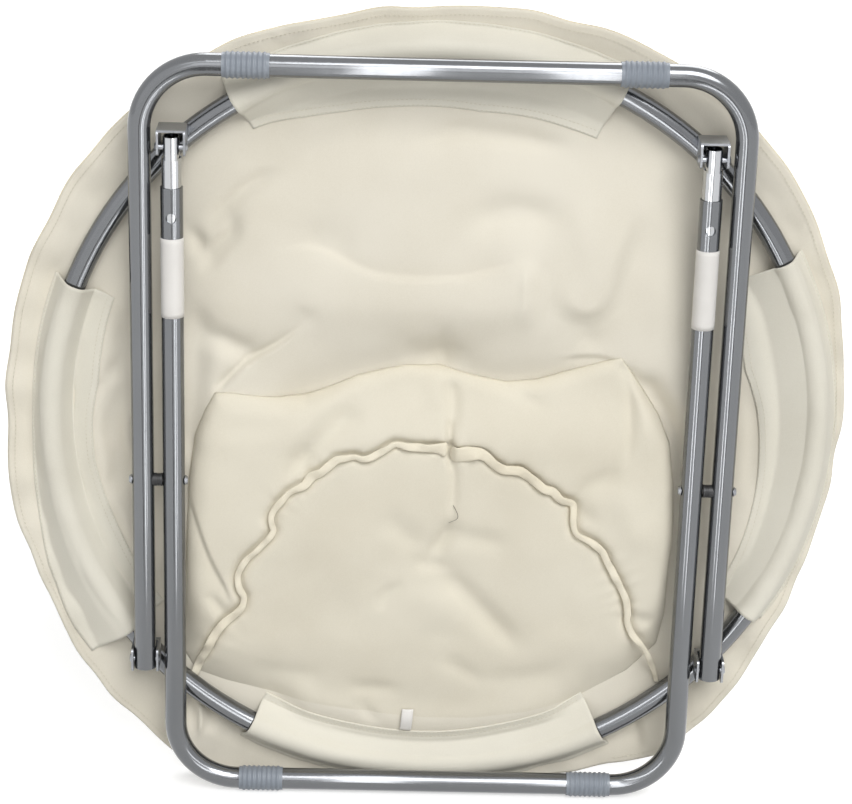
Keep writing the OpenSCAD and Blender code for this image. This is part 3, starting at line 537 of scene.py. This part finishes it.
pouchFolds = [
    crease([(-66, 19), (-86, 11), (-108, -7), (-130, -29), (-146, -51)], -8.5, 15, 0.25, 0.25),
    crease([(-225, -6), (-180, 0), (-140, 11)], -2, 14),
    crease([(16, 50), (18, 25), (17, 1)], -4.5, 7, 0.15, 0.1),
    crease([(-2, 53), (-1, 25)], 2.8, 10),
    crease([(15, 10), (16, -10), (18, -40)], -5, 4, 0.05, 0.05),
    crease([(68, 46), (89, 36), (112, 25)], -2.2, 8),
    crease([(183, 72), (191, 48), (194, 9), (192, -39)], -3.6, 6, 0.03),
    crease([(191, 66), (211, 28), (218, -20)], 4.5, 13, 0.05),
    crease([(-117, -26), (-139, -46), (-150, -63)], -4, 10),
    {"line": [(-204, -185), (-225, -137), (-244, -78)], "lift": 0, "dip": 6, "edge": 4, "fall": 40, "back": 18,
     "in": 0.05, "out": 0.05},
    crease([(-205, -201), (-211, -201), (-226, -185)], -4, 7, 0.05),
    crease([(194, -36), (156, -57), (148, -77), (161, -99)], -5, 12, 0.3, 0.1),
    crease([(183, -47), (199, -86), (210, -130)], 3, 16),
    crease([(205, -203), (238, -208)], -4, 8, 0.05),
    crease([(20, -35), (21, -64), (20, -89)], -3.4, 5, 0.05),
    crease([(21, -99), (10, -121), (-2, -140)], -6.5, 9, 0.2, 0.3),
    crease([(-21, -143), (4, -146), (22, -149)], -3.4, 9),
    crease([(17, -109), (40, -114), (86, -121)], -3.4, 12, 0.2, 0.4),
    crease([(-32, -166), (-46, -182), (-55, -199)], -3, 7, 0.2, 0.4),
    crease([(11, -152), (42, -184), (73, -219), (103, -254)], -6, 13, 0.15, 0.4),
    crease([(-57, -91), (-34, -105), (-10, -127)], -3.2, 14, 0.4, 0.2),
    crease([(7, -248), (36, -268), (64, -288)], -4, 12, 0.4),
    crease([(-5, -170), (6, -200), (25, -230)], 3.4, 26, 0.2, 0.5),
    crease([(-161, -134), (-115, -173), (-68, -218)], -1.8, 40),
    crease([(-189, -277), (-147, -278), (-100, -282)], -4, 12),
    crease([(-91, -291), (-58, -293), (-20, -294)], -5, 9, 0.35, 0.35),
    crease([(46, -284), (83, -278), (149, -271)], -4, 14),
]


def lineRadius(turn, middle, points):  # the distance from the middle to an outline of straight chords, in each direction
    p = np.array(points, float) - middle
    angles, radii = np.arctan2(p[:, 1], p[:, 0]), np.hypot(p[:, 0], p[:, 1])
    order = np.argsort(angles)
    angles, radii = angles[order], radii[order]
    t = (turn + math.pi) % (2 * math.pi) - math.pi
    full = np.concatenate([angles[-1:] - 2 * math.pi, angles, angles[:1] + 2 * math.pi])
    size = np.concatenate([radii[-1:], radii, radii[:1]])
    k = np.clip(np.searchsorted(full, t) - 1, 0, len(full) - 2)
    a, b = full[k], full[k + 1]
    ra, rb = size[k], size[k + 1]
    return ra * rb * np.sin(b - a) / (rb * np.sin(b - t) + ra * np.sin(t - a) + 1e-12)


def pouchDepth(x, h, edge):
    leftD, leftSide, leftAlong = nearLine(x, h, seamLeft)
    rightD, rightSide, rightAlong = nearLine(x, h, seamRight)
    d = np.minimum(leftD, rightD)
    side = np.where(leftD < rightD, leftSide, rightSide)
    along = np.where(leftD < rightD, leftAlong, rightAlong + 7)
    nearEnd = smoothStep((h + 292) / 30)
    inside = side > 0
    body = pouch["body"] - 12 * smoothStep((-90 - h) / 220) - (12 + 7 * bell(x, 120)) * smoothStep((h + 20) / 80)
    body = body - 2.5 * smoothStep((np.abs(x) - 120) / 130)
    depth = body + sum(foldHeight(x, h, fold) for fold in pouchFolds)
    depth = depth - 3.0 * np.exp(-((x - 9) / 52) ** 2 - ((h + 137) / 44) ** 2)
    depth = depth + np.where(inside, pouch["panel"], 0) * smoothStep(d / 12)
    depth = depth - pouch["groove"] * bell(d, 6.5) * nearEnd
    ripple = np.sin(2 * math.pi * along / pouch["puckerPitch"] + 1.7 * np.sin(along / 21)) * (0.5 + 0.5 * np.sin(along / 33))
    depth = depth + pouch["pucker"] * ripple * np.exp(-d / 12) * smoothStep(d / 5) * nearEnd
    depth = depth + 1.1 * wander(x, h, 62, 5.2) + 0.45 * wander(x, h, 24, 2.2)
    # the bag's edge turns back to the seat, sharply along the top and in a long slope below
    top = smoothStep((h + 20) / 60)
    low = smoothStep((-160 - h) / 110)
    turnIn = 24 - 10 * top + 5 * smoothStep((-130 - x) / 40) * top + (36 + 60 * smoothStep((220 - np.abs(x)) / 110)) * low
    share = np.clip(edge / turnIn, 0, 1)
    rounded = (1 - (1 - share) ** 2) ** (0.5 + 0.5 * low)
    foot = backDepth(x, h) + np.where(h > 0, 1.4 * top - 1.2, 0.9 * smoothStep((h + 300) / 60) - 0.3)
    return foot + (depth - foot) * rounded


def makePouch():
    bm = bmesh.new()
    turn, share = discGrid(bm, pouch["segments"])
    spread = 1 - (1 - share) ** 1.2
    radius = lineRadius(turn, pouch["middle"], pouchLine) * spread
    x, h = pouch["middle"][0] + radius * np.cos(turn), pouch["middle"][1] + radius * np.sin(turn)
    closed = pouchLine + pouchLine[:1]
    edge = np.full(x.shape, 1e9)
    for a, b in zip(np.array(closed[:-1], float), np.array(closed[1:], float)):
        length = np.linalg.norm(b - a)
        ux, uh = (b - a) / length
        t = np.clip((x - a[0]) * ux + (h - a[1]) * uh, 0, length)
        edge = np.minimum(edge, np.hypot(x - a[0] - t * ux, h - a[1] - t * uh))
    setPlaces(bm, x, h, pouchDepth(x, h, edge))
    bmesh.ops.recalc_face_normals(bm, faces=bm.faces)
    if sum(face.normal.y for face in bm.faces) > 0:
        bmesh.ops.reverse_faces(bm, faces=bm.faces)
    piece = dress(finishMesh(bm, "slackPouch"), finishes["pouch"], "hoop_frame", "canvas", "seat_pouch")
    thicken(piece, pouch["thick"] * mm)
    print("slack pouch", len(piece.data.polygons))
    return piece


tape = {"thick": 2.6, "wave": 0.8, "pitch": 24.0, "sides": 12, "stand": 1.5, "step": 1.6,
        "leftWide": [(0, 10), (0.1, 11), (0.2, 10.5), (0.26, 8), (0.45, 7), (0.6, 8), (0.68, 12.5),
                     (0.74, 8), (0.9, 8), (0.95, 11), (1, 17)],
        "rightWide": [(0, 21), (0.05, 18), (0.1, 12), (0.28, 11), (0.38, 9), (0.42, 7), (0.46, 7), (0.55, 9), (0.8, 8), (1, 6)]}


def sweepStrip(name, places, across, outward, wide, thick, roll, sides):  # a flat rounded strip along a row of places
    bm = bmesh.new()
    loops = [bmesh.ops.create_circle(bm, cap_ends=False, segments=sides, radius=1.0)["verts"]]
    edges = list(bm.edges)
    for _ in range(len(places) - 1):
        geom = bmesh.ops.extrude_edge_only(bm, edges=edges)["geom"]
        fresh = {item for item in geom if isinstance(item, bmesh.types.BMVert)}
        edges = [item for item in geom if isinstance(item, bmesh.types.BMEdge) and set(item.verts) <= fresh]
        loops.append([item for item in geom if isinstance(item, bmesh.types.BMVert)])
    corners = [2 * math.pi * k / sides for k in range(sides)]
    for k, verts in enumerate(loops):
        for vert, a in zip(verts, corners):
            u = wide[k] / 2 * math.copysign(abs(math.cos(a)) ** 0.65, math.cos(a))
            w = thick[k] / 2 * math.sin(a)
            u, w = u * math.cos(roll[k]) - w * math.sin(roll[k]), u * math.sin(roll[k]) + w * math.cos(roll[k])
            vert.co = places[k] + across[k] * (u * mm) + outward[k] * (w * mm)
    bmesh.ops.holes_fill(bm, edges=[edge for edge in bm.edges if edge.is_boundary], sides=sides + 1)
    bmesh.ops.recalc_face_normals(bm, faces=bm.faces)
    return finishMesh(bm, name)


def makeTape(name, points, widths):
    line = curved(points, 14)
    steps = np.concatenate([[0], np.cumsum(np.linalg.norm(np.diff(line, axis=0), axis=1))])
    s = np.linspace(0, steps[-1], int(steps[-1] / tape["step"]))
    x, h = np.interp(s, steps, line[:, 0]), np.interp(s, steps, line[:, 1])
    dx, dh = np.gradient(x), np.gradient(h)
    size = np.hypot(dx, dh)
    nx, nh = -dh / size, dx / size
    base = pouchDepth(x, h, np.full(x.shape, 99.0)) + pouch["groove"] * smoothStep((h + 292) / 30)
    base = base - tape["thick"] / 2 + tape["stand"]
    base = base - 17 * smoothStep((-232 - h) / 50)
    base = base + tape["wave"] * np.sin(2 * math.pi * s / tape["pitch"] + 1.4 * np.sin(s / 31))
    roll = 0.3 * np.sin(2 * math.pi * s / (tape["pitch"] * 1.7) + 0.5)
    ends = np.sqrt(np.clip(np.minimum(s, s[-1] - s) / 2.5, 0.03, 1))
    wide = 0.86 * np.interp(s / s[-1], *zip(*widths)) * (1 + 0.06 * np.sin(s / 6.1))
    places = [at(a * mm, b * mm, c * mm) for a, b, c in zip(x, h, base)]
    across = [Vector((a, 0, b)) for a, b in zip(nx, nh)]
    return sweepStrip(name, places, across, [Vector((0, -1, 0))] * len(s), wide * ends, tape["thick"] * ends, roll, tape["sides"])


sleeve = {"seam": 340.0, "foot": 362.0, "lap": 8.5, "outer": 407.0, "over": 12.7, "cloth": 1.2, "hem": 9.0, "rows": 60,
          "stepDegrees": 0.45, "flare": 2.6, "lay": 1.0, "tentEnd": 374, "rimStart": 388}
# The sewn edge nearest the middle is given as angles and radii. The span is where the cloth ends, in degrees.
sleeves = [
    {"name": "sleeveTop", "node": "sleeve_top", "span": (63.5, 121.6), "tent": True, "seed": 1.7,
     "outer": [(60, 407), (130, 407)],
     "seam": [(62, 341), (74, 337), (84, 332), (98, 336), (107, 341), (113, 347), (119, 355), (124, 359)],
     "folds": [crease([(-188, 330), (-150, 352), (-100, 366)], 1.8, 9),
               crease([(-176, 318), (-130, 334), (-80, 345)], -1.8, 7),
               crease([(60, 352), (110, 345), (150, 326)], -1.6, 8)]},
    {"name": "sleeveLeft", "node": "sleeve_left", "span": (158.5, 217.0), "seed": 4.1,
     "outer": [(158, 404), (178, 402), (184, 404), (190, 408), (197, 415), (202, 422), (208, 429), (213, 434), (218, 435)],
     "seam": [(158, 350), (165, 348), (174, 345), (180, 350), (188, 352), (197, 349), (218, 349)],
     "folds": [crease([(-392, 96), (-399, 40), (-400, -10)], -2.2, 6),
               crease([(-372, 60), (-378, 0), (-374, -60)], 1.2, 12),
               crease([(-356, -110), (-340, -170), (-318, -226)], -1.8, 9),
               crease([(-362, 130), (-366, 90)], -1.6, 7)]},
    {"name": "sleeveRight", "node": "sleeve_right", "span": (-31.5, 28.0), "tent": True, "seed": 6.3,
     "outer": [(-33, 402), (-25, 405), (0, 404), (30, 402)],
     "seam": [(-33, 354), (-22, 348), (-9, 340), (4, 331), (12, 322), (22, 324), (29, 332)],
     "folds": [crease([(352, 150), (364, 80), (362, 20), (352, -30)], -2.6, 9),
               crease([(376, 60), (378, -10), (366, -80)], 1.6, 14),
               crease([(352, -60), (346, -120), (334, -170)], -2.0, 9)]},
    {"name": "sleeveBottom", "node": "sleeve_bottom", "span": (241.5, 298.4), "tent": True, "seed": 8.9,
     "outer": [(240, 407), (300, 407)],
     "seam": [(240, 358), (248, 356), (257, 353), (273, 352), (283, 350), (293, 350), (299, 347)],
     "folds": [crease([(-150, -344), (-80, -366), (0, -374)], 1.2, 9),
               crease([(40, -362), (110, -350), (160, -330)], -1.5, 8)]},
]


def sleeveSection():  # radius and depth across a sleeve, from its lapped seam to the rim
    over, radius = sleeve["over"], hoop["radius"] / mm
    footIn, footOut = (sleeve["foot"], -9.0), (sleeve["outer"] - 3, -10.0)

    def touch(foot, way):
        dx = way * (foot[0] - radius)
        return math.acos(over / math.hypot(dx, foot[1])) + math.atan2(foot[1], dx)
    arc = [(radius - over * math.cos(a), over * math.sin(a))
           for a in np.linspace(touch(footIn, -1), math.pi - touch(footOut, 1), 26)]
    line = [(sleeve["seam"] - sleeve["lap"], -9.0), (sleeve["seam"], -9.0), footIn] + arc + [footOut, (sleeve["outer"], -10.0)]
    steps = np.concatenate([[0], np.cumsum([math.dist(a, b) for a, b in zip(line, line[1:])])])
    spots = np.linspace(0, steps[-1], sleeve["rows"] + 1)
    return [(float(np.interp(s, steps, [p[0] for p in line])), float(np.interp(s, steps, [p[1] for p in line]))) for s in spots]


def sleeveOuter(degrees, one):  # the radius of a sleeve's outer edge, kept above the floor
    down = np.sin(np.radians(degrees))
    above = np.where(down < -0.5, (seat["floor"] + 2.6) / np.minimum(down, -0.5), 999)
    return np.minimum(np.interp(degrees, *zip(*one["outer"])), above)


def sleeveShape(x, h, depth, one):  # moves the plain sleeve to where the sewn cloth lies
    r, turn = np.hypot(x, h), np.arctan2(h, x)
    start, end = one["span"]
    degrees = (np.degrees(turn) - start + 90) % 360 - 90
    tube, tentEnd, rimStart = hoop["radius"] / mm, sleeve["tentEnd"], sleeve["rimStart"]
    arc, total = np.radians(degrees) * tube, math.radians(end - start) * tube
    fromEnd = np.clip(np.minimum(arc, total - arc), 0, None)
    seamAngles, seamRadii = zip(*one["seam"])
    seam = np.interp(degrees + start, seamAngles, seamRadii)
    outer = sleeveOuter(degrees + start, one)
    base, turning = sleeve["seam"], sleeve["foot"]
    moved = np.where(r < base, seam - (base - r), seam + (r - base) * (turning - seam) / (turning - base))
    moved = np.where(r > turning, r, moved)
    moved = np.where(r > rimStart, rimStart + (r - rimStart) * (outer - rimStart) / (sleeve["outer"] - rimStart), moved)
    free = smoothStep((moved - seam) / 14) * smoothStep((outer - moved) / 9)
    waves = 0.8 * np.sin(arc / 17 + one["seed"]) + 0.9 * np.sin(arc / 41 + 2 * one["seed"] + r / 30)
    waves = waves + 0.4 * np.sin(arc / 8.5 + r / 13)
    x, h = moved * np.cos(turn), moved * np.sin(turn)
    shaped = waves * 0.6 + sum(foldHeight(x, h, fold) for fold in one["folds"])
    shaped = shaped + sleeve["flare"] * np.exp(-fromEnd / 22) + 0.45 * smoothStep((sleeve["hem"] - fromEnd) / 1.5)
    depth = depth + shaped * free
    sheet = backDepth(x, h) + sleeve["lay"]
    if one.get("tent"):  # this sleeve runs straight from its seam to the tube
        rise = np.clip((moved - seam) / (tentEnd - seam), 0, 1)
        depth = np.where(moved < tentEnd, np.maximum(depth, -9 + 17.5 * rise), depth)
    lifts = seam if one.get("tent") else sleeve["foot"] - 5
    hold = np.maximum(1 - smoothStep((moved - lifts) / 8), smoothStep((moved - (outer - 9)) / 7))
    depth = depth + (sheet - np.where(moved < 380, -9.0, -10.0)) * hold
    gap = np.hypot(moved - tube, depth)
    push = np.maximum(sleeve["over"] / np.maximum(gap, 1e-6), 1.0)
    outerSide = depth > -6
    moved = np.where(outerSide, tube + (moved - tube) * push, moved)
    depth = np.where(outerSide, depth * push, depth)
    onSheet = (moved < (tentEnd - 6 if one.get("tent") else lifts + 3)) | (moved > 398)
    depth = np.maximum(depth, np.where(onSheet, sheet, -99))
    return moved * np.cos(turn), np.maximum(moved * np.sin(turn), seat["floor"] + 1.6), depth


def makeSleeve(one):
    start, end = one["span"]
    bm = bmesh.new()
    row = [bm.verts.new(at(r * mm, 0, depth * mm)) for r, depth in sleeveSection()]
    for a, b in zip(row, row[1:]):
        bm.edges.new((a, b))
    middle = at(0, 0, 0)
    bmesh.ops.rotate(bm, verts=bm.verts, cent=middle, matrix=Matrix.Rotation(-math.radians(start), 3, "Y"))
    bmesh.ops.spin(bm, geom=list(bm.verts) + list(bm.edges), cent=middle, axis=(0, -1, 0), dvec=(0, 0, 0),
                   angle=math.radians(end - start), steps=int((end - start) / sleeve["stepDegrees"]), use_merge=False,
                   use_normal_flip=False, use_duplicate=False)
    bmesh.ops.remove_doubles(bm, verts=bm.verts, dist=1e-6)
    co = np.array([list(vert.co) for vert in bm.verts])
    setPlaces(bm, *sleeveShape((co[:, 0] - hoop["x"]) / mm, (co[:, 2] - hoop["z"]) / mm, (hoop["y"] - co[:, 1]) / mm, one))
    bmesh.ops.recalc_face_normals(bm, faces=bm.faces)
    if sum(face.normal.y for face in bm.faces) > 0:
        bmesh.ops.reverse_faces(bm, faces=bm.faces)
    piece = dress(finishMesh(bm, one["name"]), finishes["sleeve"], "hoop_frame", "canvas", one["node"])
    thicken(piece, sleeve["cloth"] * mm)
    print(one["name"], len(piece.data.polygons))
    return piece


binding = {"ring": 400, "wide": 10.5, "over": 1.1, "proud": 1.3, "sides": 14, "segments": 560, "sew": 8.2}
thread = {"long": 3.0, "pitch": 4.4, "thick": 0.36}


def makeBinding():  # the folded tape round the rim
    bm = bmesh.new()
    bmesh.ops.create_circle(bm, cap_ends=False, segments=binding["sides"], radius=1.0,
                            matrix=Matrix.Translation((binding["ring"], 0, 0)) @ Matrix.Rotation(math.pi / 2, 4, "X"))
    bmesh.ops.spin(bm, geom=list(bm.verts) + list(bm.edges), cent=(0, 0, 0), axis=(0, -1, 0), dvec=(0, 0, 0),
                   angle=2 * math.pi, steps=binding["segments"], use_merge=True, use_normal_flip=False, use_duplicate=False)
    co = np.array([list(vert.co) for vert in bm.verts])
    turn = np.arctan2(co[:, 2], co[:, 0])
    u, w = np.hypot(co[:, 0], co[:, 2]) - binding["ring"], -co[:, 1]
    radius = rimRadius(turn)
    r = radius + binding["over"] - binding["wide"] / 2 + np.sign(u) * np.abs(u) ** 0.6 * binding["wide"] / 2
    x, h = r * np.cos(turn), r * np.sin(turn)
    inX, inH = np.minimum(r, radius - 0.5) * np.cos(turn), np.minimum(r, radius - 0.5) * np.sin(turn)
    back, front = backDepth(inX, inH) + binding["proud"], frontDepth(inX, inH) - binding["proud"]
    shape = np.sign(w) * np.abs(w) ** 0.5
    depth = (back + front) / 2 + shape * (back - front) / 2
    setPlaces(bm, x, np.maximum(h, seat["floor"] + 0.6), depth)
    bmesh.ops.recalc_face_normals(bm, faces=bm.faces)
    return dress(finishMesh(bm, "rimBinding"), finishes["binding"], "hoop_frame", "canvas")


def makeStitches(name, rows, body):  # rows are lists of (place, along, outward), one for each stitch
    whole = bmesh.new()
    for row in rows:
        bm = bmesh.new()
        for place, along, out in row:
            side = out.cross(along).normalized()
            turn = Matrix((along, side, along.cross(side))).transposed().to_4x4()
            size = Matrix.Diagonal((thread["long"] / 2 * mm, thread["thick"] * mm, thread["thick"] * 0.8 * mm, 1))
            bmesh.ops.create_icosphere(bm, subdivisions=1, radius=1.0, matrix=Matrix.Translation(place) @ turn @ size)
        mesh = bpy.data.meshes.new("row")
        bm.to_mesh(mesh)
        bm.free()
        whole.from_mesh(mesh)
        bpy.data.meshes.remove(mesh)
    return dress(finishMesh(whole, name), finishes["thread"], body, "canvas")


def surfaceRow(x, h, depthAt, lift):  # stitches along a line on a surface given by its depth
    steps = np.concatenate([[0], np.cumsum(np.hypot(np.diff(x), np.diff(h)))])
    spots = np.arange(thread["pitch"] / 2, steps[-1], thread["pitch"])
    place = [(np.interp(spots + off, steps, x), np.interp(spots + off, steps, h)) for off in (-1.0, 0.0, 1.0)]
    ends = [[at(a * mm, b * mm, (c + lift) * mm) for a, b, c in zip(px, ph, depthAt(px, ph))] for px, ph in place]
    return [(here, (ahead - behind).normalized(), Vector((0, -1, 0))) for behind, here, ahead in zip(*ends)]


def sleeveRows(one):  # two rows on the lapped seam, and one by the rim on all but the bottom sleeve
    start, end = one["span"]
    degrees = np.arange(start + 0.6, end - 0.6, 0.3)
    turn = np.radians(degrees)
    seam = np.interp(degrees, *zip(*one["seam"]))
    outer = sleeveOuter(degrees, one)
    rows = [surfaceRow(r * np.cos(turn), r * np.sin(turn), backDepth, sleeve["lay"] + 0.1)
            for r in (seam - sleeve["lap"] + 1.4, seam - 1.6)]
    if one["node"] != "sleeve_bottom":
        rows.append(surfaceRow((outer - 1.5) * np.cos(turn), (outer - 1.5) * np.sin(turn), backDepth, sleeve["lay"] + 0.1))
    return rows


def rimRows():
    turn = np.radians(np.arange(-62.0, 242.0, 0.3))
    r = rimRadius(turn) + binding["over"] - binding["sew"]
    return [surfaceRow(r * np.cos(turn), r * np.sin(turn), backDepth, binding["proud"] + 0.1)]


label = {"corners": [(-25, -316), (-13, -316), (-27, -341), (-15, -342)], "thick": 0.35}
sticker = {"low": 119.0, "high": 199.0, "arc": 205.0, "radius": 11.13, "thick": 0.12}


def makeCareLabel():
    bm = bmesh.new()
    bmesh.ops.create_grid(bm, x_segments=8, y_segments=14, size=0.5)
    a, b, c, d = (np.array(corner, float) for corner in label["corners"])
    for vert in bm.verts:
        u, v = vert.co.x + 0.5, vert.co.y + 0.5
        x, h = (a * (1 - u) + b * u) * v + (c * (1 - u) + d * u) * (1 - v)
        lift = float(backDepth(np.array([x]), np.array([h]))[0]) + 1.6 + 1.4 * math.sin(v * 2.6) + 0.5 * math.sin(u * 3.1)
        vert.co = at(x * mm, h * mm, lift * mm)
    bmesh.ops.recalc_face_normals(bm, faces=bm.faces)
    piece = dress(finishMesh(bm, "careLabel"), finishes["paper"], "hoop_frame", "canvas")
    thicken(piece, label["thick"] * mm, 0.0)
    return piece


def makeSticker(name, way):
    bm = bmesh.new()
    centre = at(way * hoop["legHalf"], 0, hoop["legs"])
    arc = math.radians(sticker["arc"])
    heights = np.linspace(sticker["low"], sticker["high"], 17)
    row = [bm.verts.new(centre + Vector((0, -sticker["radius"] * mm, h * mm))) for h in heights]
    for a, b in zip(row, row[1:]):
        bm.edges.new((a, b))
    bmesh.ops.rotate(bm, verts=bm.verts, cent=centre, matrix=Matrix.Rotation(-arc / 2, 3, "Z"))
    bmesh.ops.spin(bm, geom=list(bm.verts) + list(bm.edges), cent=centre, axis=(0, 0, 1), dvec=(0, 0, 0), angle=arc, steps=40,
                   use_merge=False, use_normal_flip=False, use_duplicate=False)
    bmesh.ops.remove_doubles(bm, verts=bm.verts, dist=1e-7)
    bmesh.ops.recalc_face_normals(bm, faces=bm.faces)
    if sum((face.calc_center_median() - centre).to_2d().dot(face.normal.to_2d()) for face in bm.faces) < 0:
        bmesh.ops.reverse_faces(bm, faces=bm.faces)
    piece = dress(finishMesh(bm, name), finishes["paper"], "inner_leg", "painted_steel")
    thicken(piece, sticker["thick"] * mm, 1.0)
    return piece


spring = {"line": [(6, -18.1), (-4, -18.1), (-8, -17.3), (-14.6, -10.2), (-14.4, -8.9), (-10, -8.72), (0, -8.72), (13, -8.72)],
          "height": 422.79, "wide": 6.0, "thick": 0.8}


def makeSpring(side, way):  # a leaf bent to a V, which gives as its button is pressed
    line = curved(spring["line"], 6)
    across = hoop["x"] + way * hoop["legHalf"]
    places = [Vector((across, y * mm, (spring["height"] + z) * mm)) for z, y in line]
    ways = np.gradient(line, axis=0)
    out = [Vector((0, z, -y)).normalized() for z, y in ways]
    wide, thin = [spring["wide"]] * len(line), [spring["thick"]] * len(line)
    piece = sweepStrip("snapLeaf" + side.title(), places, [Vector((1, 0, 0))] * len(line), out, wide, thin, [0.0] * len(line), 8)
    dress(piece, finishes["spring"], None, "spring_steel", "snap_spring_" + side)
    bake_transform(piece)


def makeLooseThread():
    line = curved([(21, -78), (25, -85), (25, -91), (17, -97)], 8)
    depth = pouchDepth(line[:, 0], line[:, 1], np.full(len(line), 99.0)) + 1.0 + 2.2 * np.sin(np.linspace(0, math.pi, len(line)))
    places = [at(a * mm, b * mm, c * mm) for (a, b), c in zip(line, depth)]
    side, out, thin = [Vector((1, 0, 0))] * len(line), [Vector((0, -1, 0))] * len(line), [0.7] * len(line)
    piece = sweepStrip("looseThread", places, side, out, thin, thin, [0.0] * len(line), 6)
    return dress(piece, finishes["darkThread"], "hoop_frame", "canvas")


makeCamera()
finishes = {
    "canvas": canvasFinish("creamCanvas", cloth["colour"], cloth["shade"]),
    "pouch": canvasFinish("pouchCanvas", (0.725, 0.682, 0.570), (0.655, 0.607, 0.493)),
    "sleeve": canvasFinish("sleeveCanvas", (0.715, 0.688, 0.598), (0.650, 0.620, 0.530)),
    "tape": canvasFinish("foldedTape", (0.79, 0.735, 0.60), (0.72, 0.655, 0.51), 0.0006),
    "binding": canvasFinish("rimTape", (0.76, 0.70, 0.545), (0.69, 0.63, 0.47), 0.0006),
    "darkThread": plasticFinish("darkThread", (0.16, 0.14, 0.11), (0.12, 0.10, 0.08), 0.6),
    "thread": plasticFinish("sewingThread", (0.66, 0.62, 0.51), (0.58, 0.54, 0.43), 0.6),
    "paint": metalFinish("satinPaint", (0.180, 0.186, 0.195), (0.162, 0.168, 0.177), 0.13, 0.06, 0.9, coat=0.2),
    "chrome": metalFinish("brightChrome", (0.50, 0.51, 0.52), (0.44, 0.45, 0.47), 0.08, 0.06),
    "plate": metalFinish("zincPlate", (0.36, 0.37, 0.39), (0.30, 0.31, 0.33), 0.26, 0.12),
    "spring": metalFinish("springSteel", (0.30, 0.31, 0.33), (0.22, 0.23, 0.25), 0.30, 0.12),
    "grip": plasticFinish("greyPlastic", (0.225, 0.25, 0.285), (0.20, 0.225, 0.26), 0.34),
    "bush": plasticFinish("blackPlastic", (0.018, 0.018, 0.02), (0.012, 0.012, 0.013), 0.38),
    "paper": plasticFinish("blankPaper", (0.72, 0.70, 0.67), (0.68, 0.66, 0.63), 0.55),
}
makeStudio()
print("finishes", len(finishes))

slotFinish = {"painted_steel": "paint", "chromed_tube": "chrome", "plated_hardware": "plate", "spring_steel": "spring",
              "grey_plastic": "grip", "black_plastic": "bush", "canvas": "canvas", "piping_cloth": "tape"}
for part in frame["record"]["subparts"]:
    node = nodes[part["node"]]
    node.data.materials.clear()
    node.data.materials.append(finishes[slotFinish[part["material_slot"]]])

makeSeat()
pouchPiece = makePouch()
tapes = [dress(makeTape("seamTapeLeft", seamLeft, tape["leftWide"]), finishes["tape"], "hoop_frame", "piping_cloth",
               "pouch_piping"),
         dress(makeTape("seamTapeRight", seamRight, tape["rightWide"]), finishes["tape"], "hoop_frame", "piping_cloth")]
tapes + [makeLooseThread()]
careLabel = makeCareLabel()
for one in sleeves:
    piece = makeSleeve(one)
    extras = [makeStitches(one["name"] + "Stitches", sleeveRows(one), "hoop_frame")]
    if one["node"] == "sleeve_bottom":
        extras.append(careLabel)
    long = math.radians(one["span"][1] - one["span"][0]) * 0.375
makeBinding()
makeStitches("rimStitches", rimRows(), "hoop_frame")
for side, way in (("left", -1), ("right", 1)):
    makeSticker("sticker" + side.title(), way)
    makeSpring(side, way)
print("trims and labels")
